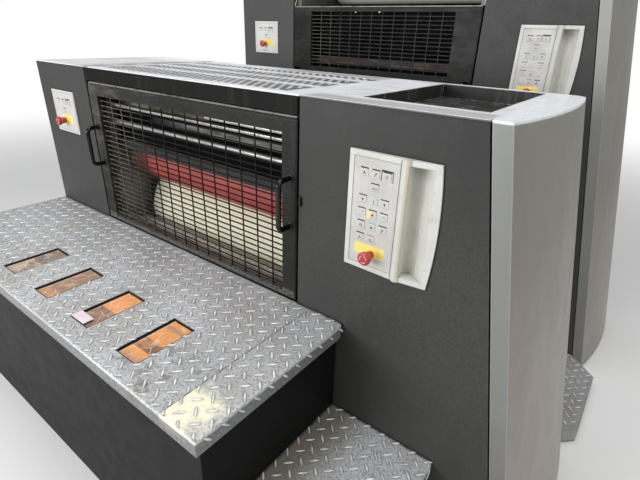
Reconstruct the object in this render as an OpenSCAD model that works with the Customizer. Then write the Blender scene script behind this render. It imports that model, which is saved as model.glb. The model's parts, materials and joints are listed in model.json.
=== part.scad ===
// Two bays of a sheet-fed offset printing press, operator's side to the right.
// A low unit stands in front, with its walkway, and a tall printing unit stands behind it.
// X runs across the press, Y along the line away from the viewer, Z up from the floor.
// The origin is on the floor, under the middle of the low unit's bed.

/* [Levels] */
// Height of the walkway above the floor
deck_h = 650; // [600:10:720]
// Height of the low unit's top above the walkway
low_rise = 600; // [580:10:660]
// Height of the tall unit's top above the walkway
tall_rise = 1400; // [1320:10:1600]
// How much higher the tall unit carries its guard, cylinders and panels
tall_lift = 293; // [260:1:330]
// Height of the intermediate step above the floor
step_h = 340; // [300:10:380]
// Height of the threshold plates above the floor
threshold_h = 50; // [30:5:80]

/* [Plan] */
// Clear width between the cabinets
guard_w = 1046; // [980:2:1100]
// Width of the drive-side cabinets
left_w = 383; // [340:1:460]
// Width of the operator-side cabinets at the low unit's top
right_w = 463; // [430:1:520]
// Depth of one unit
unit_d = 605; // [590:5:660]
// Width of the walkway between the units
gallery_d = 595; // [560:5:680]
// Depth of the front walkway
deck_d = 515; // [480:5:560]
// Outward lean of the operator-side ends, in degrees
lean = 10.4; // [6:0.1:14]

/* [End cover] */
// Width of the flat facet of the end cover
facet_w = 44; // [30:1:60]
// Reach of the end cover's curved face beyond the cabinet
cover_w = 88; // [70:1:110]
// Distance of the widest point from the front
cover_mid = 360; // [300:5:420]
// Radius of the end cover's rear corner
cover_r = 42; // [20:1:60]
// Thickness of the end cover's cap
cap_t = 5; // [3:1:12]

/* [Guard] */
// Depth of the guard frame from front to back
guard_t = 25; // [20:1:32]
// Width of the low guard's upright rails
stile_w = 54; // [40:1:70]
// Height of the low guard's top rail
head_h = 45; // [34:1:60]
// Height of the low guard's bottom rail
foot_h = 12; // [10:1:30]
// Spacing of the upright wires
wire_px = 61.5; // [55:0.5:75]
// Spacing of the level wires
wire_pz = 18.4; // [17:0.1:30]
// Thickness of the wires
wire_t = 3.2; // [2.4:0.1:4]
// Width of the tall guard's mesh window
tall_mesh_w = 800; // [700:5:840]
// Height of the tall guard's mesh window
tall_mesh_h = 267; // [220:1:300]
// Radius of the hinge pins
pin_r = 6; // [5:0.5:8]

/* [Cylinders] */
// Radius of the cream drum behind each guard, less where the unit is too short for it
drum_r = 200; // [170:1:200]
// Radius of the red cylinder above the drum
roll_r = 100; // [80:1:100]
// Radius of the journals
journal_r = 25; // [18:1:32]
// Radius of the plate cylinder above the tall guard
plate_r = 90; // [70:1:95]
// Thickness of the side frames
frame_t = 30; // [24:1:36]

/* [Panels] */
// Width of the large control panel
panel_w = 227; // [222:1:250]
// Height of the large control panel
panel_h = 298; // [290:1:320]
// Height of the ridge between the keys and the grip
ridge_t = 20; // [18:1:26]
// How far the grip is sunk into the cabinet
grip_depth = 24; // [18:1:30]
// Width of the small control panel
small_w = 175; // [160:1:200]
// Height of the small control panel
small_h = 166; // [150:1:190]
// Radius of the emergency stop's head
stop_r = 17; // [15:1:20]
// Travel of the emergency stop
stop_travel = 5; // [4:0.5:6]

/* [Walkway] */
// Width of the slots in the walkway plate
slot_w = 85; // [60:1:110]
// Length of the slots in the walkway plate
slot_l = 173; // [120:1:220]
// Spacing of the slots
slot_pitch = 228; // [180:1:230]
// Thickness of the tread plates
tread_t = 5; // [4:0.5:8]
// Height of the tread plates' folded edge
fold_h = 38; // [25:1:60]
// How far the walkway plate reaches past the guard on the operator's side
deck_over = 169; // [120:1:200]
// Width of the intermediate step beyond the walkway
step_w = 315; // [260:1:330]

/* [Tool tray] */
// Width of the tool tray
tray_w = 305; // [240:1:320]
// Width of the rim behind the tool tray
tray_rim = 33; // [25:1:60]
// Depth of the tool tray
tray_h = 40; // [25:1:60]

/* [Hidden] */

$fn = 48;
eps = 0.01;
big = 5000;

low_y = -unit_d / 2;
low_h = deck_h + low_rise;
tall_h = deck_h + tall_rise;
tall_y = low_y + unit_d + gallery_d;
walk_y = low_y - deck_d;
half = guard_w / 2;
left_x = -half - left_w;
slope = tan(lean);

// Gaps and seats
panel_gap = 5;
door_gap = 8;
clear = 6;
fit = 0.05;
seat = 0.3;

// Sheet and plate thicknesses
top_t = 4;
lip = 2;
fascia_t = 25;
fascia_in = 10;
wall_t = 15;
roof_t = 20;
groove_w = 4;
groove_d = 15;

// Guard
guard_y = 2;
hinge_y = guard_y + guard_t / 2;
low_guard_top = low_h - 55;
low_guard_bottom = deck_h + clear;
low_mesh_w = 2 * (half - door_gap - stile_w);
low_mesh_shift = 13;
tall_guard_top = low_guard_top + tall_lift + 24;
tall_guard_bottom = deck_h + tall_lift + clear;
tall_mesh_top = tall_guard_top - guard_t;
guard_half = half - door_gap;
pin_in = 10;
bore_in = 20;
frame_y = guard_y + guard_t + clear;

// Cylinders
drum_front = 173;
drum_gap = 17;
drum = min(drum_r, (unit_d - wall_t - drum_gap - drum_front) / 2);
cream_y = drum_front + drum;
cream_z = deck_h + 2;
red_y = 200;
red_z = deck_h + 257;
plate_y = 400;
plate_z = tall_guard_top + 120;
roll_half = half - frame_t - 10;
roll_rim = 14;
roll_gap_w = 40;
roll_gap_d = 22;
journal_in = 2;
bed_h = 260;

// Beams, bars and shields in front of the cylinders; heights are above the walkway
in = half - frame_t;
beam_y = 70;
beam_w = 20;
beam_z = 295;
beam_h = 33;
sill_y = frame_y + 1;
sill_w = 26;
sill_z = -50;
sill_h = 61;
ledge_y = 105;
ledge_w = 55;
ledge_z = -50;
ledge_h = 20;
shield_t = 3;
bar_y = 65;
bar_r = 7;
bar_z = [399, 462];
short_bar_r = 6;
short_bar_x = 80;
short_bar_z = 482;

// Hood over the tall unit's opening
hood_z = tall_guard_top + 190;
hood_lip = 60;
hood_top = 70;
hood_d = 80;

// Walkway
deck_x = half + deck_over;
skirt_in = 26;
fold_r = 8;
corner_r = 20;
seam_x = 48;
seam_w = 1.5;
step_x = deck_x - skirt_in;
slot_x = -331;
slot_y = walk_y + 59;
slot_rim = 8;
slot_t = 3;
threshold_over = 10;
threshold_cut = 110;

// End covers
cover_lift = 8;

// Handles
handle_r = 7.5;
handle_out = 45;
handle_h = 140;
handle_x = guard_half - stile_w / 2;
handle_z = deck_h + 240;
tall_handle_drop = 120;
bend_r = 16;

// Large panel: places are measured from its lower left corner
panel_x = half + 161;
panel_z = deck_h + 200;
panel_edge = 8;
panel_bulge = 10;
ridge_x = 140;
ridge_r = 11;
ridge_foot = 14;
key_margin = 13;
key_x = 48;
key_px = 30.5;
key_w = 21;
key_z = 86;
key_pz = 32.7;
key_h = 17;
key_pocket = 3;
key_foil = 2;
key_rise = 1.2;
foil_gap = 0.5;
grip_x = 158;
grip_rim = 12;
grip_r = 14;
grip_wall = 6;
stop_x = 80;
stop_z = 48;

// Small panel
small_x = -half - 288;
small_z = deck_h + 328;
small_t = 4;
small_stop_x = 83;
small_stop_z = 49;

// Emergency stops
stem_r = 8;
stem_l = 22;
stop_l = 27;

// Tool tray, let into the operator-side cabinet
tray_x = half + 127;
tray_front = 92;
tray_y = low_y + tray_front;
tray_l = unit_d - tray_front - tray_rim;
tray_t = 3;

function right_x(z) = half + right_w + (low_h - z) * slope;

// Shared shapes

module box(x0, x1, y0, y1, z0, z1) {
  translate([x0, y0, z0]) cube([x1 - x0, y1 - y0, z1 - z0]);
}

module rod_x(x0, x1, y, z, r) {
  translate([x0, y, z]) rotate([0, 90, 0]) cylinder(h = x1 - x0, r = r);
}

module rod_y(x, y0, y1, z, r) {
  translate([x, y1, z]) rotate([90, 0, 0]) cylinder(h = y1 - y0, r = r);
}

// A plate in the plane of the front, drawn as an outline in X and Z
module upright(y0, t) {
  translate([0, y0 + t, 0]) rotate([90, 0, 0]) linear_extrude(t) children();
}

module end_outline() {
  k = cos(lean);
  reach = cover_w * k;
  flat = facet_w * k;
  rise = reach - flat;
  r = (cover_mid * cover_mid + rise * rise) / (2 * rise);
  corner_y = unit_d - cover_r;
  corner_x = reach - r + sqrt(r * r - pow(corner_y - cover_mid, 2));
  difference() {
    intersection() {
      square([reach, unit_d]);
      translate([reach - r, cover_mid]) circle(r, $fn = 360);
      union() {
        square([cover_w * 2, corner_y]);
        square([corner_x - cover_r, unit_d]);
        translate([corner_x - cover_r, corner_y]) circle(cover_r);
      }
    }
    translate([-eps, -eps]) square([groove_w, groove_d]);
  }
}

// The end cover follows the cabinet's leaning edge down to just above the floor
module end_cover(y0, z0, z1) {
  intersection() {
    translate([right_x(0), y0, 0])
      rotate([0, -lean, 0])
        translate([0, 0, -cover_w]) linear_extrude(z1 * 1.1 + cover_w) end_outline();
    box(0, big, y0, y0 + unit_d, z0, z1);
  }
}

module left_cabinet(y0, h) {
  difference() {
    box(left_x, -half, y0, y0 + unit_d, 0, h);
    children();
  }
}

module right_cabinet(y0, h) {
  difference() {
    upright(y0, unit_d)
      polygon([[half, 0], [half, h], [right_x(h), h], [right_x(0), 0]]);
    children();
  }
}

module hinge_bores(y0, z) {
  rod_x(-half - bore_in, half + bore_in, y0 + hinge_y, z, pin_r + fit);
}

module stop_bore(x, y0, z) {
  rod_y(x, y0 - 4 * ridge_t, y0 + stem_l + stop_travel + clear, z, stem_r + fit);
}

module guard_frame(y0, z0, z1, open_w, open_z0, open_z1) {
  r = guard_t / 2;
  pivot_z = z1 - r;
  difference() {
    union() {
      box(-guard_half, guard_half, y0 + guard_y, y0 + guard_y + guard_t, z0, pivot_z);
      rod_x(-guard_half, guard_half, y0 + hinge_y, pivot_z, r);
    }
    box(-open_w / 2, open_w / 2, y0, y0 + 2 * guard_t, open_z0, open_z1);
  }
  rod_x(-half - pin_in, -guard_half, y0 + hinge_y, pivot_z, pin_r);
  rod_x(guard_half, half + pin_in, y0 + hinge_y, pivot_z, pin_r);
}

// Wires in both directions, fused where they cross; they end at the frame's inner edges
module guard_mesh(y0, open_w, z0, z1, shift) {
  y = y0 + guard_y + guard_t * 0.35;
  nx = round(open_w / wire_px);
  nz = round((z1 - z0) / wire_pz);
  px = open_w / nx;
  pz = (z1 - z0) / nz;
  union() {
    for (i = [1:nx - 1]) {
      x = -open_w / 2 + i * px + shift;
      box(x - wire_t / 2, x + wire_t / 2, y, y + wire_t, z0, z1);
    }
    for (j = [1:nz - 1]) {
      z = z0 + j * pz;
      box(-open_w / 2, open_w / 2, y, y + wire_t, z - wire_t / 2, z + wire_t / 2);
    }
  }
}

// A quarter bend of the handle's rod, turned about the X axis
module handle_bend(x, y, z, turn) {
  translate([x, y, z])
    rotate([turn, 0, 0])
      rotate([0, 90, 0])
        rotate_extrude(angle = 90) translate([bend_r, 0]) circle(handle_r);
}

// A bent rod that stands out from the guard
module handle(x, y0, z) {
  grip_y = y0 + guard_y - handle_out;
  bend_y = grip_y + bend_r;
  top = z + handle_h;
  union() {
    rod_y(x, bend_y, y0 + guard_y, z, handle_r);
    rod_y(x, bend_y, y0 + guard_y, top, handle_r);
    handle_bend(x, bend_y, z + bend_r, -90);
    handle_bend(x, bend_y, top - bend_r, 180);
    translate([x, grip_y, z + bend_r]) cylinder(h = handle_h - 2 * bend_r, r = handle_r);
  }
}

// A cylinder with rounded rims, journals and the clamping gap along its far side
module roller(y, z, r, gap_angle) {
  difference() {
    rod_x(-roll_half, roll_half, y, z, r, $fn = 96);
    translate([0, y, z])
      rotate([gap_angle, 0, 0])
        box(-big, big, -roll_gap_w / 2, roll_gap_w / 2, r - roll_gap_d, r + 1);
    for (s = [-1, 1])
      translate([s * roll_half, y, z])
        rotate([0, 90, 0])
          rotate_extrude($fn = 96)
            difference() {
              translate([r - roll_rim, -roll_rim]) square([roll_rim + 1, 2 * roll_rim]);
              translate([r - roll_rim, -s * roll_rim]) circle(roll_rim);
            }
  }
  rod_x(-half + journal_in, -roll_half + 1, y, z, journal_r);
  rod_x(roll_half - 1, half - journal_in, y, z, journal_r);
}

module side_frames(y0, z1, axes) {
  for (x = [-half, in])
    difference() {
      box(x, x + frame_t, y0 + frame_y, y0 + unit_d - wall_t, 0, z1);
      for (a = axes)
        rod_x(x - 1, x + frame_t + 1, y0 + a[0], a[1], journal_r + fit);
    }
}

// The panel seen from the front, its right edge bowed outward
module panel_outline() {
  r = (panel_h * panel_h / 4 + panel_bulge * panel_bulge) / (2 * panel_bulge);
  intersection() {
    square([panel_w + panel_bulge, panel_h]);
    translate([panel_w + panel_bulge - r, panel_h / 2]) circle(r, $fn = 360);
  }
}

// Thickness of the panel's left part, which rises from its edge to the ridge
function face_t(x) = panel_edge + (ridge_foot - panel_edge) * x / ridge_x;

// Section of the panel from above: the rising face, the round ridge and the falling right part
module panel_section() {
  polygon([
    [0, 0],
    [0, panel_edge],
    [ridge_x, ridge_foot],
    [ridge_x + 2 * ridge_r, ridge_foot - 1],
    [panel_w + panel_bulge, panel_edge / 2],
    [panel_w + panel_bulge, 0],
  ]);
  translate([ridge_x + ridge_r, ridge_t - ridge_r]) circle(ridge_r);
}

// Section of the grip: a steep wall under the ridge, a round bottom and a slope up to the right border
module grip_section() {
  x1 = panel_w - grip_rim;
  y1 = panel_edge / 2;
  cx = grip_x + grip_r;
  cy = grip_r - grip_depth;
  reach = [x1 - cx, y1 - cy];
  turn = atan2(reach[1], reach[0]) - acos(grip_r / norm(reach));
  polygon([
    [grip_x, 2 * ridge_t],
    [grip_x, cy],
    [cx, cy],
    [cx + grip_r * cos(turn), cy + grip_r * sin(turn)],
    [x1, y1],
    [x1, 2 * ridge_t],
  ]);
  translate([cx, cy]) circle(grip_r);
}

// Places its children, drawn from above with Y outward, on the front at the panel's corner
module on_panel(y0, lift) {
  translate([panel_x, y0, panel_z + lift]) mirror([0, 1, 0]) children();
}

// The box behind the grip that reaches into the cabinet
module grip_box(y0, lift, margin) {
  on_panel(y0, lift)
    box(grip_x - grip_wall - margin, panel_w - grip_wall + margin, -grip_depth - grip_wall - margin,
        1, key_margin - grip_wall - margin, panel_h - key_margin + grip_wall + margin);
}

// Moulded housing: an inset field for the keys, a ridge, and a grip sunk into the cabinet
module panel_housing(y0, lift) {
  difference() {
    union() {
      intersection() {
        on_panel(y0, lift) linear_extrude(panel_h) panel_section();
        upright(y0 - 2 * ridge_t, 2 * ridge_t) translate([panel_x, panel_z + lift]) panel_outline();
      }
      grip_box(y0, lift, 0);
    }
    on_panel(y0, lift) {
      translate([0, 0, key_margin])
        linear_extrude(panel_h - 2 * key_margin)
          key_section(key_margin, ridge_x - key_margin / 4, -key_pocket, ridge_t);
      translate([0, 0, key_margin]) linear_extrude(panel_h - 2 * key_margin) grip_section();
    }
    stop_bore(panel_x + stop_x, y0, panel_z + lift + stop_z);
  }
}

// A band of the panel's face from x0 to x1, between two heights above the face
module key_section(x0, x1, low, high) {
  polygon([
    [x0, face_t(x0) + low],
    [x1, face_t(x1) + low],
    [x1, face_t(x1) + high],
    [x0, face_t(x0) + high],
  ]);
}

// The key foil in its field, with raised keys in six rows
module keypad(y0, lift) {
  counts = [[0, 1], [0, 1, 2], [0, 1, 2], [0, 1, 2], [1], [0, 1, 2]];
  difference() {
    on_panel(y0, lift) {
      translate([0, 0, key_margin + foil_gap])
        linear_extrude(panel_h - 2 * (key_margin + foil_gap))
          key_section(key_margin + foil_gap, ridge_x - key_margin / 4 - foil_gap,
            -key_pocket, key_foil - key_pocket);
      for (row = [0:5])
        for (col = counts[row])
          translate([0, 0, key_z + row * key_pz - key_h / 2])
            linear_extrude(key_h)
              key_section(key_x + (col - 0.5) * key_px, key_x + (col - 0.5) * key_px + key_w,
                -key_pocket, key_foil + key_rise - key_pocket);
    }
    stop_bore(panel_x + stop_x, y0, panel_z + lift + stop_z);
  }
}

module small_panel(y0, lift) {
  difference() {
    box(small_x, small_x + small_w, y0 - small_t, y0, small_z + lift, small_z + lift + small_h);
    stop_bore(small_x + small_stop_x, y0, small_z + lift + small_stop_z);
  }
}

// A mushroom head on a stem that slides in its bore
module stop_button(x, face_y, z) {
  rim_r = 5;
  y = face_y - stop_travel - clear;
  rod_y(x, y - 2, face_y + stem_l, z, stem_r);
  translate([x, y, z])
    rotate([90, 0, 0])
      rotate_extrude()
        union() {
          square([stop_r * 0.72, stop_l / 2]);
          translate([0, stop_l - 3 * rim_r]) square([stop_r - rim_r, 3 * rim_r]);
          translate([0, stop_l - 2 * rim_r]) square([stop_r, rim_r]);
          translate([stop_r - rim_r, stop_l - 2 * rim_r]) circle(rim_r);
          translate([stop_r - rim_r, stop_l - rim_r]) circle(rim_r);
        }
}

module right_stop(y0, lift) {
  stop_button(panel_x + stop_x, y0 - face_t(stop_x), panel_z + lift + stop_z);
}

module left_stop(y0, lift) {
  stop_button(small_x + small_stop_x, y0 - small_t, small_z + lift + small_stop_z);
}

// A folded tread plate: the sheet and its turned-down edges at the front and on the operator's side
module folded_plate(x0, x1, y0, y1, top) {
  difference() {
    box(x0, x1, y0, y1, top - fold_h, top);
    box(x0 - eps, x1 - tread_t, y0 + tread_t, y1 + eps, top - fold_h - eps, top - tread_t);
    difference() {
      box(x0 - 1, x1 + 1, y0 - 1, y0 + fold_r, top - fold_r, top + 1);
      rod_x(x0 - 2, x1 + 2, y0 + fold_r, top - fold_r, fold_r);
    }
    difference() {
      box(x1 - fold_r, x1 + 1, y0 - 1, y1 + 1, top - fold_r, top + 1);
      rod_y(x1 - fold_r, y0 - 2, y1 + 2, top - fold_r, fold_r);
    }
    difference() {
      box(x1 - corner_r, x1 + 1, y1 - corner_r, y1 + 1, top - fold_h - 1, top + 1);
      translate([x1 - corner_r, y1 - corner_r, top - fold_h - 2]) cylinder(h = fold_h + 4, r = corner_r);
    }
  }
}

// Joints between the sheets of a walkway plate
module seams(y0, y1) {
  for (x = [-half - seam_x, half + seam_x])
    box(x - seam_w / 2, x + seam_w / 2, y0 - 1, y1 + 1, deck_h - seam_w, deck_h + 1);
}

// The row of slots in the front walkway, each a rectangle grown by a margin
module slot_row(margin, z0, z1) {
  for (i = [0:3])
    translate([slot_x + i * slot_pitch, slot_y, 0])
      box(-slot_w / 2 - margin, slot_w / 2 + margin, -margin, slot_l + margin, z0, z1);
}

// Walkway

module front_deck() color([0.62, 0.63, 0.65]) {
  difference() {
    folded_plate(left_x, deck_x, walk_y, low_y, deck_h);
    slot_row(0, deck_h - 2 * tread_t, deck_h + 1);
    seams(walk_y, low_y);
  }
}

module gallery_deck() color([0.62, 0.63, 0.65]) {
  difference() {
    box(left_x, deck_x, low_y + unit_d, tall_y, deck_h - tread_t, deck_h);
    seams(low_y + unit_d, tall_y);
  }
}

module deck_frames() color([0.08, 0.08, 0.08]) {
  difference() {
    box(left_x + skirt_in, step_x, walk_y + skirt_in, low_y, 0, deck_h - tread_t);
    slot_row(slot_rim + seat, deck_h - tread_t - slot_t - seat, deck_h);
  }
  box(left_x + skirt_in, step_x, low_y + unit_d, tall_y, 0, deck_h - tread_t);
}

module slot_plates() color([0.78, 0.48, 0.28]) {
  slot_row(slot_rim, deck_h - tread_t - slot_t, deck_h - tread_t);
}

module step_plates() color([0.6, 0.62, 0.64]) {
  folded_plate(step_x, deck_x + step_w, walk_y, low_y, step_h);
  box(step_x, deck_x + step_w, low_y + unit_d, tall_y, step_h - tread_t, step_h);
}

module step_frames() color([0.1, 0.1, 0.1]) {
  box(step_x, deck_x + step_w - skirt_in, walk_y + skirt_in, low_y, 0, step_h - tread_t);
  box(step_x, deck_x + step_w - skirt_in, low_y + unit_d, tall_y, 0, step_h - tread_t);
}

module threshold_outline(y0, y1) {
  x0 = deck_x + step_w;
  x1 = right_x(0) + cover_w + threshold_over;
  x2 = x1 - threshold_cut;
  polygon([[x0, y0], [x2, y0], [x1, y0 + threshold_cut], [x1, y1 - threshold_cut], [x2, y1], [x0, y1]]);
}

module threshold_plates() color([0.66, 0.67, 0.68]) {
  linear_extrude(threshold_h) threshold_outline(low_y + unit_d, tall_y);
  linear_extrude(threshold_h) threshold_outline(walk_y, low_y);
}

// Low unit

module low_left_cabinet() color([0.31, 0.31, 0.3]) {
  left_cabinet(low_y, low_h - top_t) {
    hinge_bores(low_y, low_guard_top - guard_t / 2);
    stop_bore(small_x + small_stop_x, low_y, small_z + small_stop_z);
  }
}

module low_left_top() color([0.8, 0.8, 0.82]) {
  box(left_x, -half - 1, low_y - lip, low_y + unit_d, low_h - top_t, low_h);
}

module low_left_panel() color([0.88, 0.88, 0.84]) {
  small_panel(low_y, 0);
}

module low_left_stop() color([0.7, 0.12, 0.12]) {
  left_stop(low_y, 0);
}

module low_guard_frame() color([0.2, 0.2, 0.2]) {
  guard_frame(low_y, low_guard_bottom, low_guard_top, low_mesh_w,
    low_guard_bottom + foot_h, low_guard_top - head_h);
}

module low_guard_mesh() color([0.25, 0.25, 0.25]) {
  guard_mesh(low_y, low_mesh_w, low_guard_bottom + foot_h, low_guard_top - head_h, low_mesh_shift);
}

module low_guard_handles() color([0.06, 0.06, 0.06]) {
  handle(-handle_x, low_y, handle_z);
  handle(handle_x, low_y, handle_z);
}

module low_fascia() color([0.2, 0.2, 0.2]) {
  z0 = low_guard_top + clear;
  z1 = low_h - top_t;
  box(-half + panel_gap, half - panel_gap, low_y, low_y + fascia_t, z0, z1);
  box(-half, half, low_y + fascia_in, low_y + fascia_t, z0, z1);
}

module low_tread_cover() color([0.75, 0.76, 0.78]) {
  box(-half + 1, half - 1, low_y - lip, low_y + unit_d, low_h - top_t, low_h);
}

module low_back_wall() color([0.25, 0.25, 0.25]) {
  box(-half, half, low_y + unit_d - wall_t, low_y + unit_d, 0, low_h - top_t);
}

module low_side_frames() color([0.3, 0.3, 0.28]) {
  side_frames(low_y, low_h - top_t, [[cream_y, cream_z], [red_y, red_z]]);
}

module low_bed() color([0.15, 0.15, 0.15]) {
  box(-in, in, low_y + frame_y, low_y + unit_d - wall_t, 0, bed_h);
}

module low_red_cylinder() color([0.65, 0.22, 0.2]) {
  roller(low_y + red_y, red_z, roll_r, -120);
}

module low_cream_cylinder() color([0.92, 0.9, 0.8]) {
  roller(low_y + cream_y, cream_z, drum, -150);
}

module cross_beams(y0, lift) {
  z = deck_h + lift;
  box(-in, in, y0 + beam_y, y0 + beam_y + beam_w, z + beam_z, z + beam_z + beam_h);
  box(-in, in, y0 + sill_y, y0 + sill_y + sill_w, z + sill_z, z + sill_z + sill_h);
  box(-in, in, y0 + ledge_y, y0 + ledge_y + ledge_w, z + ledge_z, z + ledge_z + ledge_h);
}

// A plate on the upper beam's far face that hides the red cylinder from z0 to z1
module inner_shield(y0, z0, z1) {
  y = y0 + beam_y + beam_w;
  box(-in, in, y, y + shield_t, z0, z1);
}

module low_chrome_bars() color([0.85, 0.86, 0.88]) {
  for (z = bar_z)
    rod_x(-in, in, low_y + bar_y, deck_h + z, bar_r);
  rod_x(short_bar_x, in, low_y + bar_y, deck_h + short_bar_z, short_bar_r);
}

module low_cross_beams() color([0.22, 0.22, 0.22]) {
  cross_beams(low_y, 0);
}

module low_inner_shield() color([0.08, 0.08, 0.08]) {
  inner_shield(low_y, deck_h + beam_z, low_guard_top - clear);
}

module tray_box(margin, z0, z1) {
  box(tray_x - margin, tray_x + tray_w + margin, tray_y - margin, tray_y + tray_l + margin, z0, z1);
}

module low_right_cabinet() color([0.31, 0.31, 0.3]) {
  right_cabinet(low_y, low_h - top_t) {
    hinge_bores(low_y, low_guard_top - guard_t / 2);
    stop_bore(panel_x + stop_x, low_y, panel_z + stop_z);
    grip_box(low_y, 0, seat);
    tray_box(tray_t + seat, low_h - tray_h - tray_t, low_h + 1);
  }
}

module low_right_top() color([0.8, 0.8, 0.82]) {
  difference() {
    upright(low_y - lip, unit_d + lip)
      polygon([
        [half + 1, low_h - top_t],
        [half + 1, low_h],
        [right_x(low_h), low_h],
        [right_x(low_h - top_t), low_h - top_t],
      ]);
    tray_box(tray_t + seat, 0, low_h + 1);
  }
}

module tool_tray() color([0.35, 0.35, 0.36]) {
  difference() {
    tray_box(tray_t, low_h - tray_h - tray_t, low_h);
    tray_box(0, low_h - tray_h, low_h + 1);
  }
}

module low_panel_housing() color([0.88, 0.88, 0.86]) {
  panel_housing(low_y, 0);
}

module low_keypad() color([0.84, 0.84, 0.82]) {
  keypad(low_y, 0);
}

module low_right_stop() color([0.7, 0.12, 0.12]) {
  right_stop(low_y, 0);
}

module low_end_cover() color([0.52, 0.5, 0.46]) {
  end_cover(low_y, cover_lift, low_h - cap_t);
}

module low_end_cap() color([0.82, 0.85, 0.87]) {
  end_cover(low_y, low_h - cap_t, low_h);
}

// Tall unit

module tall_left_cabinet() color([0.31, 0.31, 0.3]) {
  left_cabinet(tall_y, tall_h) {
    hinge_bores(tall_y, tall_guard_top - guard_t / 2);
    stop_bore(small_x + small_stop_x, tall_y, small_z + tall_lift + small_stop_z);
  }
}

module tall_left_panel() color([0.88, 0.88, 0.84]) {
  small_panel(tall_y, tall_lift);
}

module tall_left_stop() color([0.7, 0.12, 0.12]) {
  left_stop(tall_y, tall_lift);
}

module tall_guard_frame() color([0.2, 0.2, 0.2]) {
  guard_frame(tall_y, tall_guard_bottom, tall_guard_top, tall_mesh_w,
    tall_mesh_top - tall_mesh_h, tall_mesh_top);
}

module tall_guard_mesh() color([0.25, 0.25, 0.25]) {
  guard_mesh(tall_y, tall_mesh_w, tall_mesh_top - tall_mesh_h, tall_mesh_top, 0);
}

module tall_guard_handles() color([0.06, 0.06, 0.06]) {
  handle(-handle_x, tall_y, handle_z + tall_lift - tall_handle_drop);
  handle(handle_x, tall_y, handle_z + tall_lift - tall_handle_drop);
}

module tall_kick_panel() color([0.2, 0.2, 0.2]) {
  box(-half, half, tall_y, tall_y + fascia_t, 0, tall_guard_bottom - clear);
}

module tall_hood() color([0.24, 0.24, 0.24]) {
  top = tall_h - roof_t;
  translate([-half, tall_y, 0])
    rotate([90, 0, 90])
      linear_extrude(guard_w)
        polygon([[0, hood_z], [0, hood_z + hood_lip], [hood_top, top], [hood_d, top], [hood_d, hood_z]]);
}

module tall_roof() color([0.3, 0.3, 0.3]) {
  box(-half, half, tall_y, tall_y + unit_d, tall_h - roof_t, tall_h);
}

module tall_back_wall() color([0.25, 0.25, 0.25]) {
  box(-half, half, tall_y + unit_d - wall_t, tall_y + unit_d, 0, tall_h - roof_t);
}

module tall_side_frames() color([0.3, 0.3, 0.28]) {
  difference() {
    side_frames(tall_y, tall_h - roof_t,
      [[cream_y, cream_z + tall_lift], [red_y, red_z + tall_lift], [plate_y, plate_z]]);
    box(-big, big, tall_y, tall_y + hood_d + seat, hood_z, tall_h);
  }
}

module tall_bed() color([0.15, 0.15, 0.15]) {
  box(-in, in, tall_y + frame_y, tall_y + unit_d - wall_t, 0, bed_h);
}

module tall_red_cylinder() color([0.65, 0.22, 0.2]) {
  roller(tall_y + red_y, red_z + tall_lift, roll_r, -120);
}

module tall_cream_cylinder() color([0.92, 0.9, 0.8]) {
  roller(tall_y + cream_y, cream_z + tall_lift, drum, -150);
}

module tall_plate_cylinder() color([0.85, 0.85, 0.82]) {
  roller(tall_y + plate_y, plate_z, plate_r, -100);
}

module tall_cross_beams() color([0.22, 0.22, 0.22]) {
  cross_beams(tall_y, tall_lift);
}

module tall_inner_shield() color([0.08, 0.08, 0.08]) {
  inner_shield(tall_y, red_z + tall_lift, tall_guard_top - clear);
}

module tall_right_cabinet() color([0.31, 0.31, 0.3]) {
  right_cabinet(tall_y, tall_h) {
    hinge_bores(tall_y, tall_guard_top - guard_t / 2);
    stop_bore(panel_x + stop_x, tall_y, panel_z + tall_lift + stop_z);
    grip_box(tall_y, tall_lift, seat);
  }
}

module tall_panel_housing() color([0.88, 0.88, 0.86]) {
  panel_housing(tall_y, tall_lift);
}

module tall_keypad() color([0.84, 0.84, 0.82]) {
  keypad(tall_y, tall_lift);
}

module tall_right_stop() color([0.7, 0.12, 0.12]) {
  right_stop(tall_y, tall_lift);
}

module tall_end_cover() color([0.52, 0.5, 0.46]) {
  end_cover(tall_y, cover_lift, tall_h - cap_t);
}

module tall_end_cap() color([0.82, 0.85, 0.87]) {
  end_cover(tall_y, tall_h - cap_t, tall_h);
}

front_deck();
gallery_deck();
deck_frames();
slot_plates();
step_plates();
step_frames();
threshold_plates();
low_left_cabinet();
low_left_top();
low_left_panel();
low_left_stop();
low_guard_frame();
low_guard_mesh();
low_guard_handles();
low_fascia();
low_tread_cover();
low_back_wall();
low_side_frames();
low_bed();
low_red_cylinder();
low_cream_cylinder();
low_chrome_bars();
low_cross_beams();
low_inner_shield();
low_right_cabinet();
low_right_top();
tool_tray();
low_panel_housing();
low_keypad();
low_right_stop();
low_end_cover();
low_end_cap();
tall_left_cabinet();
tall_left_panel();
tall_left_stop();
tall_guard_frame();
tall_guard_mesh();
tall_guard_handles();
tall_kick_panel();
tall_hood();
tall_roof();
tall_back_wall();
tall_side_frames();
tall_bed();
tall_red_cylinder();
tall_cream_cylinder();
tall_plate_cylinder();
tall_cross_beams();
tall_inner_shield();
tall_right_cabinet();
tall_panel_housing();
tall_keypad();
tall_right_stop();
tall_end_cover();
tall_end_cap();
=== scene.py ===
import bpy
import bmesh
import json
import math
from mathutils import Matrix, Vector


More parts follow.
